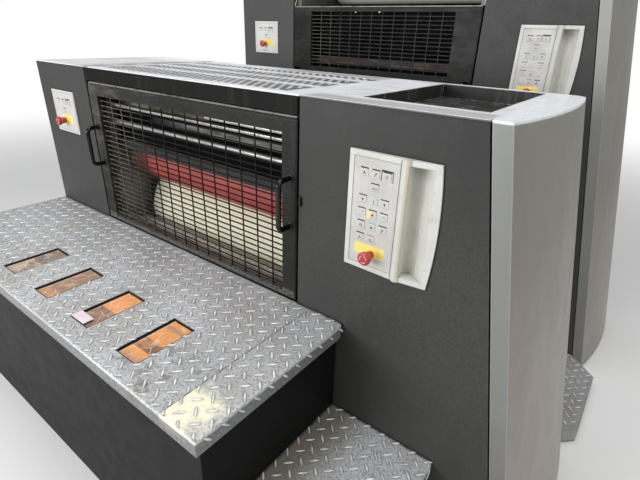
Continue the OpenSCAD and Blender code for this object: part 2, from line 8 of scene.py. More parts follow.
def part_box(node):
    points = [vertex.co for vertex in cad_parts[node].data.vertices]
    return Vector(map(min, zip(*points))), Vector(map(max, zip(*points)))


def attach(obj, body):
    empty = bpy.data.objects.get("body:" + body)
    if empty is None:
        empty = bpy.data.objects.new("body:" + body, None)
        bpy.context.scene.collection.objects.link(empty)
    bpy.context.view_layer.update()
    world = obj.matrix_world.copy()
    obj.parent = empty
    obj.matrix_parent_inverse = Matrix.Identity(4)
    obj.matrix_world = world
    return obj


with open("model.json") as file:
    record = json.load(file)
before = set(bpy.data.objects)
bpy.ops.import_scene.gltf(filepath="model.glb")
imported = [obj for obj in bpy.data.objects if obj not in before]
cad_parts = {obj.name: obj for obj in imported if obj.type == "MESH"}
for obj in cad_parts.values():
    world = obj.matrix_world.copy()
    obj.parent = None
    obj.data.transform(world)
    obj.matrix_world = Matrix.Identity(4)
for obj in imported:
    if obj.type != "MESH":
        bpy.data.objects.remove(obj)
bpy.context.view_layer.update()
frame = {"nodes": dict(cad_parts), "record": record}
nodes = frame["nodes"]

# Places that repeat the frame's, in millimetres
LEFT_X, DECK_X, STEP_X, STEP_END = -906.0, 692.0, 666.0, 1007.0
WALK_Y, LOW_Y, GALLERY_Y, TALL_Y = -817.5, -302.5, 302.5, 897.5
DECK_Z, STEP_Z, THRESHOLD_Z, LOW_TOP = 650.0, 340.0, 50.0, 1250.0
FOLD_R, FOLD_H = 8.0, 38.0
SEAMS = (-571.0, 571.0)
SLOT_X, SLOT_PITCH, SLOT_W, SLOT_Y, SLOT_L = -331.0, 228.0, 85.0, -758.5, 173.0
PANEL_X, PANEL_Z, PANEL_T, PANEL_RISE, RIDGE_X = 684.0, 850.0, 8.0, 6.0, 140.0
SMALL_X, SMALL_Z, SMALL_T = -811.0, 978.0, 4.0
STOP_NECK, STOP_HEAD = 11.0, 27.0
TALL_LIFT = 293.0

# Places in metres, for the materials
LOW_FACE, TALL_FACE = LOW_Y / 1000, TALL_Y / 1000
LOW_GUARD_TOP, TALL_GUARD_TOP = 1.195, 1.512
SLOT_START, SLOT_STEP = (SLOT_W / 2 - SLOT_X) / 1000, SLOT_PITCH / 1000

# Nodes with a material of their own; the others have their slot's
OWN_SHADER = {"low_fascia": "fascia_black", "tall_kick_panel": "fascia_black",
              "low_guard_mesh": "mesh_black", "tall_guard_mesh": "mesh_black",
              "low_inner_shield": "shield_black", "tall_inner_shield": "shield_black",
              "low_cross_beams": "beam_iron", "tall_cross_beams": "beam_iron",
              "low_left_panel": "small_white", "tall_left_panel": "small_white",
              "tall_guard_frame": "tall_guard_black", "low_tread_cover": "cover_pattern"}


def linked(name, data):
    """A new object in the scene."""
    o = bpy.data.objects.new(name, data)
    bpy.context.scene.collection.objects.link(o)
    return o


# Camera

CAM_AT = (1.2452, -1.1755, 1.3885)
CAM_RIGHT = (0.79463, 0.60632, 0.03056)
CAM_FORWARD = (-0.53946, 0.72831, -0.42254)
CAM_SENSOR, CAM_LENS = 36, 25.04


def make_camera():
    data = bpy.data.cameras.new("camera")
    cam = linked("camera", data)
    bpy.context.scene.camera = cam
    data.sensor_width = CAM_SENSOR
    data.lens = CAM_LENS
    data.clip_start = 0.05
    data.clip_end = 100
    right = Vector(CAM_RIGHT).normalized()
    forward = Vector(CAM_FORWARD).normalized()
    up = right.cross(forward)
    turn = Matrix((right, up, -forward)).transposed().to_4x4()
    cam.matrix_world = Matrix.Translation(Vector(CAM_AT)) @ turn


# Shader calls

class Shader:
    """A node material, with short calls for the nodes used most."""

    def __init__(self, name, **sockets):
        self.name = name
        self.mat = bpy.data.materials.new(name)
        self.mat.use_nodes = True
        self.tree = self.mat.node_tree
        self.bsdf = self.tree.nodes["Principled BSDF"]
        for key, value in sockets.items():
            self.bsdf.inputs[key.replace("_", " ")].default_value = value
        self.at = self.add("ShaderNodeTexCoord").outputs["Object"]
        self.x, self.y, self.z = self.parts(self.at)
        # The colour so far, and the noises that a material's marks share
        self.tone = None
        self.patch = None
        self.scuff = None

    def add(self, kind, **props):
        n = self.tree.nodes.new(kind)
        for key, value in props.items():
            setattr(n, key, value)
        return n

    def join(self, value, socket):
        if isinstance(value, bpy.types.NodeSocket):
            self.tree.links.new(value, socket)
        elif isinstance(value, tuple) and len(value) == 3 and socket.type == "RGBA":
            socket.default_value = (*value, 1)
        else:
            socket.default_value = value

    def parts(self, vector):
        """The three numbers of a vector."""
        n = self.add("ShaderNodeSeparateXYZ")
        self.join(vector, n.inputs[0])
        return n.outputs[0], n.outputs[1], n.outputs[2]

    def stretched(self, scale):
        n = self.add("ShaderNodeMapping")
        self.join(self.at, n.inputs["Vector"])
        n.inputs["Scale"].default_value = scale
        return n.outputs["Vector"]

    def noise(self, scale, detail, rough=0.55, at=None, warp=0.0):
        n = self.add("ShaderNodeTexNoise")
        self.join(at or self.at, n.inputs["Vector"])
        n.inputs["Scale"].default_value = scale
        n.inputs["Detail"].default_value = detail
        n.inputs["Roughness"].default_value = rough
        n.inputs["Distortion"].default_value = warp
        return n.outputs["Fac"]

    def cells(self, scale, feature="F1", at=None):
        n = self.add("ShaderNodeTexVoronoi", feature=feature)
        self.join(at or self.at, n.inputs["Vector"])
        n.inputs["Scale"].default_value = scale
        return n.outputs["Distance"]

    def span(self, value, low, high, to_low=0.0, to_high=1.0):
        """Turns low to high into to_low to to_high, with soft ends."""
        n = self.add("ShaderNodeMapRange", interpolation_type="SMOOTHSTEP")
        self.join(value, n.inputs["Value"])
        for key, number in (("From Min", low), ("From Max", high), ("To Min", to_low), ("To Max", to_high)):
            n.inputs[key].default_value = number
        return n.outputs["Result"]

    def math(self, how, a, b=0.0):
        n = self.add("ShaderNodeMath", operation=how)
        self.join(a, n.inputs[0])
        self.join(b, n.inputs[1])
        return n.outputs[0]

    def mix(self, share, a, b):
        n = self.add("ShaderNodeMix", data_type="RGBA")
        self.join(share, n.inputs[0])
        self.join(a, n.inputs[6])
        self.join(b, n.inputs[7])
        return n.outputs[2]

    def also(self, *shares):
        """The product of several shares."""
        total = shares[0]
        for share in shares[1:]:
            total = self.math("MULTIPLY", total, share)
        return total

    def between(self, value, low, high, soft=0.002):
        """1 between two values."""
        return self.also(self.span(value, low - soft, low + soft), self.span(value, high + soft, high - soft))

    def edges(self, radius=0.003):
        """1 at sharp edges, 0 on flats: how far a rounded normal turns from the real one."""
        soft = self.add("ShaderNodeBevel", samples=4)
        soft.inputs["Radius"].default_value = radius
        real = self.add("ShaderNodeNewGeometry")
        dot = self.add("ShaderNodeVectorMath", operation="DOT_PRODUCT")
        self.join(soft.outputs["Normal"], dot.inputs[0])
        self.join(real.outputs["Normal"], dot.inputs[1])
        return self.span(dot.outputs["Value"], 0.995, 0.86)

    def near(self, reach, dark, bright):
        """1 in the corners next to other surfaces, 0 in the open."""
        n = self.add("ShaderNodeAmbientOcclusion", samples=6)
        n.inputs["Distance"].default_value = reach
        return self.span(n.outputs["AO"], bright, dark)

    def fronts(self):
        """1 on the faces towards the operator's walkways."""
        normal = self.add("ShaderNodeNewGeometry").outputs["True Normal"]
        return self.span(self.parts(normal)[1], -0.9, -0.97)

    def start(self, share, a, b):
        """Sets the tone to a mixture of two colours."""
        self.tone = self.mix(share, a, b)

    def over(self, colour, *shares):
        """Lays a colour over the tone, by the product of the shares."""
        self.tone = self.mix(self.also(*shares), self.tone, colour)

    def finish(self, worn, rough, fine, depth, rounded=0.0, high=0.7):
        """Joins the tone, a roughness that follows a noise up to its value high, and a bump of fine noise.

        The bump is depth deep; rounded is the radius it shows at sharp edges."""
        self.join(self.tone, self.bsdf.inputs["Base Color"])
        self.join(self.span(worn, 0.3, high, *rough), self.bsdf.inputs["Roughness"])
        n = self.add("ShaderNodeBump")
        n.inputs["Strength"].default_value = 1.0
        n.inputs["Distance"].default_value = depth
        self.join(self.noise(*fine), n.inputs["Height"])
        if rounded:
            soft = self.add("ShaderNodeBevel", samples=4)
            soft.inputs["Radius"].default_value = rounded
            self.join(soft.outputs["Normal"], n.inputs["Normal"])
        self.join(n.outputs["Normal"], self.bsdf.inputs["Normal"])
        return self


# Painted sheet metal

def painted(name, base, dark, worn, rough, gloss=0.5, grain=0.00012, wear=0.35, streaks=0.05,
            first=None, last=None):
    """Paint on sheet metal: patchy colour, upright streaks, specks and edges worn to a lighter tone."""
    s = Shader(name, Specular_IOR_Level=gloss)
    s.patch = s.noise(2.6, 5.0, 0.6, warp=0.4)
    streak = s.noise(6.0, 4.0, 0.6, at=s.stretched((5, 5, 0.35)))
    s.start(s.span(s.patch, 0.3, 0.72), base, dark)
    s.over(worn, s.span(streak, 0.5, 0.78), streaks)
    if first:
        first(s)
    s.over(worn, s.span(s.cells(95.0), 0.13, 0.07), s.span(s.noise(9.0, 2.0), 0.58, 0.72), 0.3)
    s.over(worn, s.edges(), s.span(s.noise(48.0, 3.0, 0.7), 0.42, 0.62), wear)
    if last:
        last(s)
    shine = (rough - 0.03, rough + 0.05)
    return s.finish(s.noise(14.0, 5.0, 0.65), shine, (620.0, 2.0, 0.5), grain, 0.0016, 0.75)


def dusty(s, top, share, shade):
    """Dust that thins out from the floor to a height."""
    s.over(shade, s.span(s.z, top, 0.0), s.span(s.patch, 0.25, 0.7), share)


def housing_charcoal():
    base = (0.05, 0.051, 0.0485)

    def mottle(s):
        s.over(tuple(c * 0.45 for c in base), s.span(s.noise(170.0, 3.0, 0.7), 0.42, 0.6), 0.4)

    def shade(s):
        # The tall left cabinet is lighter, the low right one darker towards its top
        s.over((0.105, 0.107, 0.108), s.span(s.x, -0.4, -0.5), s.span(s.y, 0.85, 0.88), 0.35)
        high_right = s.also(s.span(s.x, 0.5, 0.51), s.span(s.y, 0.4, 0.3), s.span(s.z, 0.8, 1.22))
        s.over((0.016, 0.016, 0.0155), high_right, 0.7)
        dusty(s, 0.75, 0.55, (0.11, 0.105, 0.095))
        # Painted shade: near black in the corners where other parts meet the cabinets
        s.over((0.004, 0.004, 0.004), s.near(0.007, 0.72, 0.96), 0.9)

    return painted("housing_charcoal", base, (0.041, 0.041, 0.0395), (0.2, 0.2, 0.195), rough=0.52,
                   gloss=0.36, wear=0.5, first=mottle, last=shade)


def fascia_black():
    def gap_shadow(s):
        # Painted shadow: a near-black band at the right end, in the slit beside the guard
        s.over((0.003, 0.003, 0.003), s.between(s.x, 0.512, 0.53))

    return painted("fascia_black", (0.014, 0.0135, 0.0125), (0.01, 0.01, 0.01), (0.12, 0.12, 0.115),
                   rough=0.5, gloss=0.05, wear=0.6, streaks=0.16, last=gap_shadow)


def plinth_black():
    def dust_and_sheen(s):
        dusty(s, 0.2, 0.3, (0.022, 0.02, 0.018))

    return painted("plinth_black", (0.0065, 0.0065, 0.0065), (0.006, 0.006, 0.006), (0.025, 0.024, 0.022),
                   rough=0.52, gloss=0.1, last=dust_and_sheen)


def handle_black():
    return painted("handle_black", (0.002, 0.002, 0.002), (0.0015, 0.0015, 0.0015), (0.04, 0.04, 0.04),
                   rough=0.13, gloss=0.4, grain=0.00001, wear=0.1)


def frame_iron():
    return painted("frame_iron", (0.16, 0.155, 0.14), (0.07, 0.068, 0.06), (0.34, 0.33, 0.3), rough=0.42,
                   grain=0.0003, streaks=0.3)


def tray_grey():
    return painted("tray_grey", (0.022, 0.0215, 0.019), (0.011, 0.0105, 0.0095), (0.5, 0.49, 0.46),
                   rough=0.42, gloss=0.3, wear=1.0, streaks=0.22)


# Guards and the space behind them

def guard(name, face, top, dirt_and_shade, highlight_tone, bare=None):
    """A guard's black frame: dusty and rubbed in front, with a painted highlight along its top edge."""
    s = Shader(name, Specular_IOR_Level=0.15)
    ahead = s.span(s.y, face + 0.03, face + 0.028)
    patch = s.noise(12.0, 6.0, 0.7, warp=0.5)
    speck = s.noise(210.0, 3.0, 0.65)
    rub = s.noise(26.0, 6.0, 0.75, at=s.stretched((0.3, 1.0, 1.0)))
    edge = s.noise(25.0, 4.0, 0.7)
    s.start(s.span(patch, 0.35, 0.65), (0.022, 0.0215, 0.02), (0.011, 0.011, 0.0105))
    s.over((0.085, 0.083, 0.078), s.span(speck, 0.54, 0.64), s.span(patch, 0.35, 0.6), dirt_and_shade)
    s.over((0.12, 0.11, 0.092), s.span(rub, 0.5, 0.66), s.span(s.x, 0.15, -0.3), ahead, dirt_and_shade)
    if bare:
        s.over((0.2, 0.197, 0.185), bare(s, speck), ahead)
    corner = s.also(s.between(s.z, top - 0.04, top + 0.001, 0.02), s.span(s.x, -0.1, -0.5), ahead)
    s.over((0.16, 0.155, 0.148), corner, s.span(speck, 0.5, 0.6), 0.4)
    s.over((0.2, 0.195, 0.185), s.edges(), s.span(edge, 0.42, 0.62), 0.5)
    # Painted highlight: a light line along the frame's top edge, broken by a noise
    painted_highlight = s.between(s.z, top - 0.0035, top + 0.003, 0.0015)
    s.over(highlight_tone, painted_highlight, s.span(edge, 0.3, 0.55, 0.35, 1.0), ahead, 0.95)
    # Painted shadow: near black in the slit at the frame's right edge
    s.over((0.004, 0.004, 0.004), s.between(s.x, 0.508, 0.53), ahead)
    return s.finish(rub, (0.34, 0.5), (420.0, 3.0, 0.6), 0.00018, 0.0014)


def guard_black():
    def bare(s, speck):
        # Worn along the foot and up the left stile
        foot = s.also(s.between(s.z, 0.652, 0.681), s.span(speck, 0.42, 0.58), 0.7)
        stile = s.also(s.between(s.x, -0.525, -0.465), s.span(s.z, 0.88, 1.0), s.span(speck, 0.48, 0.6), 0.5)
        return s.math("MAXIMUM", foot, stile)

    return guard("guard_black", LOW_FACE, LOW_GUARD_TOP, 0.5, (0.55, 0.54, 0.5), bare)


def tall_guard_black():
    return guard("tall_guard_black", TALL_FACE, TALL_GUARD_TOP, 0.15, (0.42, 0.4, 0.35))


def mesh_black():
    """Black wires, with painted light making them grey towards the low guard's left end, and lighter grey on
    the tall guard.
    """
    s = Shader("mesh_black", Specular_IOR_Level=0.1)
    worn = s.noise(70.0, 4.0, 0.65)
    s.start(s.span(worn, 0.35, 0.65), (0.009, 0.009, 0.0085), (0.004, 0.004, 0.004))
    # Painted light: the wires grey towards the low guard's left end, where light falls from the left
    s.over((0.16, 0.152, 0.132), s.span(s.x, -0.12, -0.4), s.span(worn, 0.3, 0.55), 0.7)
    s.over((0.07, 0.07, 0.067), s.span(s.y, 0.5, 0.6), s.span(worn, 0.3, 0.6), 0.6)
    return s.finish(worn, (0.36, 0.5), (500.0, 2.0), 0.00005)


def shield_black():
    """Dull black; the low unit's shield carries two pale bands behind the bars: painted haze and sheen,
    standing in for a dark chrome roller.
    """
    s = Shader("shield_black", Specular_IOR_Level=0.04)
    haze = s.noise(12.0, 4.0, 0.6)
    dust_and_sheen = s.span(s.noise(22.0, 5.0, 0.7, at=s.stretched((0.3, 1.0, 2.0))), 0.35, 0.62, 0.25, 1.0)
    low = s.span(s.y, 0.4, 0.3)
    s.start(s.span(haze, 0.35, 0.65), (0.005, 0.005, 0.005), (0.0025, 0.0025, 0.0025))
    # Painted haze and sheen: two pale bands, broken by streaks, where a dark chrome roller shows behind the
    # bars
    upper = s.also(s.between(s.z, 1.113, 1.136, 0.004), s.between(s.x, -0.42, 0.06, 0.06))
    lower = s.also(s.between(s.z, 1.066, 1.088, 0.004), s.span(s.x, -0.28, -0.08))
    s.over((0.3, 0.28, 0.22), low, upper, dust_and_sheen)
    s.over((0.26, 0.26, 0.25), low, lower, dust_and_sheen)
    return s.finish(haze, (0.6, 0.75), (300.0, 2.0), 0.0001)


def beam_iron():
    """Oily iron, with painted highlights along the beams' upper edges, pale ledges and grey sills."""
    s = Shader("beam_iron", Specular_IOR_Level=0.35)
    oil = s.noise(16.0, 5.0, 0.65, at=s.stretched((0.5, 2.0, 2.0)))
    s.start(s.span(oil, 0.35, 0.65), (0.05, 0.045, 0.042), (0.025, 0.022, 0.02))
    brown = s.mix(s.span(oil, 0.4, 0.6), (0.085, 0.056, 0.044), (0.025, 0.017, 0.014))
    s.over(brown, s.span(s.y, 0.4, 0.6), s.span(s.z, 1.2, 1.22))
    # Painted highlights: thin light lines along the beams' upper edges
    for edge in (0.978, 1.271):
        s.over((0.3, 0.27, 0.25), s.between(s.z, edge - 0.002, edge + 0.002, 0.001), 0.7)
    pale = s.mix(s.span(s.noise(50.0, 5.0, 0.7), 0.35, 0.65), (0.85, 0.84, 0.79), (0.42, 0.41, 0.37))
    for face in (LOW_FACE, TALL_FACE):
        s.over(pale, s.between(s.y, face + 0.095, face + 0.17))
        s.over((0.36, 0.35, 0.32), s.between(s.y, face + 0.03, face + 0.062), s.span(oil, 0.35, 0.55), 0.85)
    return s.finish(oil, (0.36, 0.55), (300.0, 3.0), 0.0002, 0.0015)


def oily_ends(s, start):
    """Bare, oily steel on the cylinders' ends, beyond the blanket or the jacket."""
    ends = s.span(s.math("ABSOLUTE", s.x), start - 0.002, start + 0.002)
    film = s.noise(30.0, 4.0, 0.6)
    s.over(s.mix(s.span(film, 0.35, 0.65), (0.1, 0.09, 0.075), (0.035, 0.03, 0.026)), ends)


def red_blanket():
    s = Shader("red_blanket")
    band = s.noise(18.0, 5.0, 0.65, at=s.stretched((0.4, 3.0, 3.0)))
    s.start(s.span(band, 0.35, 0.7), (0.52, 0.1, 0.083), (0.37, 0.07, 0.06))
    # Painted shade: the blanket darkens towards its left end
    s.over((0.05, 0.014, 0.012), s.span(s.x, -0.3, -0.38), 0.85)
    oily_ends(s, 0.435)
    return s.finish(band, (0.34, 0.5), (350.0, 2.0), 0.0001)


def cream_jacket():
    s = Shader("cream_jacket")
    band = s.noise(12.0, 5.0, 0.65, at=s.stretched((0.5, 3.0, 3.0)))
    s.start(s.span(band, 0.35, 0.7), (1.0, 0.975, 0.78), (0.96, 0.92, 0.69))
    s.over((0.4, 0.3, 0.18), s.span(s.cells(40.0), 0.2, 0.05), 0.35)
    oily_ends(s, 0.455)
    return s.finish(band, (0.26, 0.42), (350.0, 2.0), 0.0001)


# Tops, decks and covers

def top(name, marks, rim=None):
    """Pale grey top sheet, scuffed along the press; marks lie under the painted highlight on its edges, a rim
    over them.
    """
    s = Shader(name)
    s.patch = s.noise(3.0, 5.0, 0.6, warp=0.6)
    s.scuff = s.noise(9.0, 6.0, 0.7, at=s.stretched((0.5, 4.0, 1.0)), warp=0.3)
    s.start(s.span(s.patch, 0.3, 0.7), (0.74, 0.745, 0.77), (0.56, 0.565, 0.58))
    s.over((0.34, 0.34, 0.345), s.span(s.scuff, 0.5, 0.72), 0.55)
    s.over((0.4, 0.37, 0.33), s.span(s.cells(60.0), 0.1, 0.04), 0.35)
    marks(s)
    # Painted highlight on the sharp edges
    s.over((0.8, 0.8, 0.82), s.edges())
    if rim:
        rim(s)
    return s.finish(s.scuff, (0.26, 0.5), (500.0, 2.0), 0.0001, 0.0012, 0.75)


def cover_pattern():
    def bands(s):
        # Worn anti-slip bands run across the press
        ragged = s.also(s.math("SUBTRACT", s.noise(60.0, 3.0, 0.7), 0.5), 0.016)
        across = s.math("ADD", s.x, ragged)
        along = s.math("ADD", s.y, ragged)
        worn = s.also(s.between(s.y, 0.222, 0.29, 0.006), s.span(s.x, -0.1, 0.1), 0.5)
        for low, high in ((-0.268, -0.15), (-0.112, -0.034), (0.004, 0.086), (0.144, 0.206)):
            worn = s.math("MAXIMUM", worn, s.between(along, low, high, 0.006))
        inside = s.between(across, -0.445, 0.452, 0.008)
        s.over((0.07, 0.07, 0.072), worn, inside, s.span(s.scuff, 0.3, 0.7, 1.0, 0.8))
        # Painted shade over the cover's left end, broken by a noise
        dirt_and_shade = s.span(s.noise(15.0, 3.0), 0.4, 0.55, 0.6, 1.0)
        s.over((0.13, 0.13, 0.13), s.span(s.x, -0.475, -0.495), dirt_and_shade)

    return top("cover_pattern", bands)


def top_grey():
    def smears(s):
        # Dirt beside the seams and in front of the tray, and a clean far left corner
        seam = s.also(s.between(s.x, 0.54, 0.67, 0.03), s.span(s.patch, 0.4, 0.6), 0.35)
        tray = s.also(s.span(s.y, -0.225, -0.25), s.span(s.x, 0.5, 0.56),
                      s.span(s.scuff, 0.4, 0.55, 0.5, 0.8))
        left = s.also(s.span(s.x, -0.5, -0.555), s.span(s.x, -0.585, -0.565),
                      s.span(s.noise(15.0, 3.0), 0.4, 0.55, 0.3, 0.8))
        s.over((0.3, 0.295, 0.285), s.math("MAXIMUM", s.math("MAXIMUM", seam, tray), left))
        s.over((0.86, 0.865, 0.88), s.span(s.x, -0.4, -0.5), s.span(s.y, 0.12, 0.24), 0.8)

    def grime(s):
        # The right top's front edge face is darker, below the painted highlight on its rim
        s.over((0.05, 0.05, 0.048), s.fronts(), s.span(s.x, 0.5, 0.52), s.span(s.z, 1.2492, 1.2484), 0.9)

    return top("top_grey", smears, grime)


def tread_plate():
    """Gritty grey tread plate: stains, a painted reflection on the near corner, grime and painted shade round
    the lozenges, and folds darkened as painted shade.
    """
    s = Shader("tread_plate", Metallic=0.3)
    patch = s.noise(3.2, 6.0, 0.65, warp=0.5)
    grit = s.noise(190.0, 3.0, 0.7)
    deck = s.span(s.z, 0.62, 0.64)
    s.start(s.span(patch, 0.3, 0.7), (0.62, 0.63, 0.645), (0.5, 0.51, 0.52))
    s.over((0.5, 0.49, 0.41), s.span(s.noise(5.0, 5.0, 0.65), 0.48, 0.66), 0.4)
    s.over((0.19, 0.19, 0.195), s.span(grit, 0.47, 0.6), 0.7)
    s.over((0.16, 0.125, 0.07), s.span(s.x, 0.83, 0.7), s.span(s.z, 0.5, 0.36), 0.75)
    blot = s.also(s.between(s.x, 0.3, 0.56, 0.03), s.span(s.y, -0.6, -0.66))
    s.over((0.12, 0.12, 0.11), blot, s.span(s.noise(20.0, 5.0, 0.75), 0.52, 0.62), 0.6)
    s.over((0.2, 0.18, 0.15), s.span(s.noise(7.0, 5.0, 0.7), 0.42, 0.62), 0.1925)
    ends = s.math("MAXIMUM", s.span(s.x, -0.62, -0.8), s.also(s.span(s.x, 0.35, 0.6), deck))
    s.over((0.2, 0.2, 0.19), ends, s.span(s.y, -0.2, -0.3), 0.16)
    # Painted reflection: a pale patch over the deck's near right corner
    ragged = s.also(s.noise(14.0, 5.0, 0.7), 0.16)
    pale = s.also(s.span(s.x, 0.5715, 0.573), s.span(s.math("ADD", s.y, ragged), -0.6, -0.66),
                  s.span(s.math("ADD", s.x, ragged), 0.78, 0.7), deck)
    s.over((0.93, 0.88, 0.65), pale, s.span(grit, 0.5, 0.7, 0.95, 0.6))
    s.over((0.66, 0.67, 0.68), s.edges(0.004), 0.45)
    # Grime and painted shade round the lozenges' feet and along the walls
    s.over((0.06, 0.06, 0.06), s.near(0.008, 0.84, 0.985), s.span(grit, 0.3, 0.6, 0.6, 1.0))
    # Dark rims round the slots, then painted shade on the folds' faces, and the threshold plates
    across = s.math("FLOORED_MODULO", s.math("ADD", s.x, SLOT_START), SLOT_STEP)
    rim = s.math("MAXIMUM", s.span(across, 0.0877, 0.0872), s.span(across, 0.2253, 0.2258))
    row = s.also(s.between(s.y, -0.761, -0.583, 0.0003), s.between(s.x, -0.377, 0.399), deck)
    s.over((0.02, 0.02, 0.02), rim, row)
    folds = s.math("MAXIMUM", s.between(s.z, 0.609, 0.644), s.between(s.z, 0.299, 0.334))
    s.over((0.12, 0.123, 0.125), folds, 0.75)
    s.over((0.17, 0.168, 0.15), s.span(s.z, 0.07, 0.055), 0.55)
    return s.finish(grit, (0.34, 0.56), (260.0, 4.0, 0.7), 0.0006, 0.002)


def slot_copper():
    """The plates under the four slots, each with its own stains, all creased, with painted shade along the
    walls.
    """
    s = Shader("slot_copper", Metallic=0.2)
    grime = s.noise(16.0, 6.0, 0.7, warp=0.8)
    grain = s.span(grime, 0.35, 0.65)
    first = s.mix(s.span(grime, 0.45, 0.56), (0.5, 0.38, 0.31), (0.22, 0.17, 0.14))
    second = s.mix(grain, (0.42, 0.26, 0.17), (0.26, 0.18, 0.15))
    second = s.mix(s.also(s.span(s.y, -0.7, -0.745), 0.6), second, (0.72, 0.35, 0.16))
    dull = s.mix(grain, (0.38, 0.22, 0.15), (0.2, 0.13, 0.1))
    clean = s.mix(grain, (0.9, 0.4, 0.16), (0.72, 0.31, 0.13))
    third = s.mix(s.span(s.math("ADD", s.y, s.also(grime, 0.012)), -0.669, -0.665), dull, clean)
    fourth = s.mix(grain, (0.86, 0.38, 0.13), (0.66, 0.29, 0.12))
    burnt = s.mix(s.span(grime, 0.4, 0.6), (0.2, 0.12, 0.08), (0.46, 0.22, 0.11))
    fourth = s.mix(s.between(s.y, -0.716, -0.676, 0.003), fourth, burnt)
    fourth = s.mix(s.also(s.between(s.y, -0.621, -0.607, 0.003), 0.7), fourth, (0.36, 0.24, 0.17))
    fourth = s.mix(s.also(s.span(s.y, -0.728, -0.745), 0.55), fourth, (0.46, 0.3, 0.2))
    s.start(s.span(s.x, -0.218, -0.216), first, second)
    s.over(third, s.span(s.x, 0.01, 0.012))
    s.over(fourth, s.span(s.x, 0.238, 0.24))
    scratch = s.noise(60.0, 3.0, 0.6, at=s.stretched((2.0, 0.5, 1.0)))
    s.over((0.9, 0.62, 0.42), s.span(scratch, 0.58, 0.7), 0.5)
    creased = s.cells(34.0, "DISTANCE_TO_EDGE", s.stretched((1.0, 0.6, 1.0)))
    s.over((0.95, 0.7, 0.5), s.span(creased, 0.035, 0.012), s.span(grime, 0.4, 0.6, 0.6, 0.15))
    across = s.math("FLOORED_MODULO", s.math("ADD", s.x, SLOT_START), SLOT_STEP)
    # Painted shade along each slot's left wall and its back wall
    shade = (0.012, 0.011, 0.01)
    s.over(shade, s.span(across, 0.006, 0.004))
    s.over(shade, s.span(s.y, -0.5895, -0.5875))
    s.over((0.8, 0.62, 0.5), s.between(across, 0.007, 0.0095, 0.0008), 0.6)
    s.over((0.9, 0.74, 0.6), s.span(across, 0.081, 0.083), 0.6)
    return s.finish(grime, (0.3, 0.55), (200.0, 3.0), 0.0002)


def cover_grey():
    """The end covers: warm grey curve with scuffs and spots, neutral grey front facet."""
    s = Shader("cover_grey", Metallic=0.15, Coat_Weight=0.35, Coat_Roughness=0.32)
    patch = s.noise(2.2, 6.0, 0.62, warp=0.7)
    rub = s.noise(10.0, 6.0, 0.7, at=s.stretched((1.0, 1.0, 0.35)), warp=1.2)
    s.start(s.span(patch, 0.3, 0.72), (0.21, 0.202, 0.166), (0.172, 0.164, 0.136))
    ragged = s.math("SUBTRACT", s.z, s.also(s.noise(1.7, 3.0), 0.9))
    s.over((0.235, 0.18, 0.15), s.span(ragged, 0.75, 0.1), 0.6)
    s.over((0.3, 0.28, 0.26), s.span(rub, 0.62, 0.78), 0.3)
    s.over((0.08, 0.07, 0.06), s.span(s.cells(42.0), 0.11, 0.06), s.span(patch, 0.48, 0.58))
    facet = s.mix(s.span(patch, 0.3, 0.72), (0.218, 0.223, 0.212), (0.19, 0.195, 0.185))
    s.over(s.mix(s.span(s.y, 0.4, 0.7), facet, (0.27, 0.275, 0.262)), s.fronts())
    s.over((0.5, 0.5, 0.48), s.edges(0.004), 0.6)
    return s.finish(rub, (0.34, 0.48), (700.0, 2.0), 0.00008, 0.002, 0.75)


def cap_grey():
    s = Shader("cap_grey", Metallic=0.2)
    streak = s.noise(14.0, 6.0, 0.7, at=s.stretched((3.0, 0.6, 1.0)), warp=0.8)
    s.start(s.span(streak, 0.4, 0.7), (0.8, 0.82, 0.84), (0.62, 0.65, 0.69))
    s.over((0.85, 0.86, 0.86), s.span(s.noise(30.0, 5.0, 0.7), 0.6, 0.72), 0.5)
    return s.finish(streak, (0.26, 0.42), (300.0, 2.0), 0.0001, 0.002)


# Panels

def white(name, base, dark, marks=None):
    """Off-white plastic with a little dirt."""
    s = Shader(name)
    patch = s.noise(14.0, 5.0, 0.6)
    s.start(s.span(patch, 0.35, 0.7), base, dark)
    s.over((0.3, 0.28, 0.22), s.span(s.noise(70.0, 4.0, 0.7), 0.56, 0.72), 0.3)
    if marks:
        marks(s)
    return s.finish(patch, (0.36, 0.5), (900.0, 2.0), 0.00006, 0.0015)


def small_white():
    def dull(s):
        # The low unit's panel is duller than the tall one's
        s.over((0.44, 0.42, 0.4), s.span(s.y, 0.3, 0.2), 0.5)

    return white("small_white", (0.66, 0.665, 0.65), (0.6, 0.595, 0.56), dull)


def panel_white():
    def grips(s):
        # Handling grime streaks in each finger grip, over painted shade that is darkest under its roof;
        # painted shade on the ridge's right side
        for face, roof in ((LOW_FACE, 1.133), (TALL_FACE, 1.426)):
            deep = s.also(s.span(s.y, face, face + 0.02), s.span(s.y, face + 0.06, face + 0.03))
            streak = s.noise(14.0, 4.0, 0.65, at=s.stretched((4.0, 4.0, 0.5)))
            s.over((0.38, 0.38, 0.31), deep, 0.15)
            s.over((0.34, 0.34, 0.27), deep, s.span(streak, 0.46, 0.62), 0.4)
            s.over((0.2, 0.2, 0.17), deep, s.span(s.z, roof - 0.045, roof - 0.01), 0.5)
            ridge = s.also(s.between(s.x, 0.835, 0.8475), s.span(s.y, face - 0.004, face - 0.01))
            s.over((0.5, 0.47, 0.36), ridge, 0.45)
        # Painted shade in the corners next to other parts
        s.over((0.2, 0.19, 0.16), s.near(0.006, 0.3, 0.8), 0.35)

    return white("panel_white", (0.62, 0.625, 0.59), (0.56, 0.555, 0.51), grips)


def keypad_white():
    return white("keypad_white", (0.55, 0.545, 0.525), (0.49, 0.48, 0.455))


# Plain materials

EVEN = (1, 1, 1)

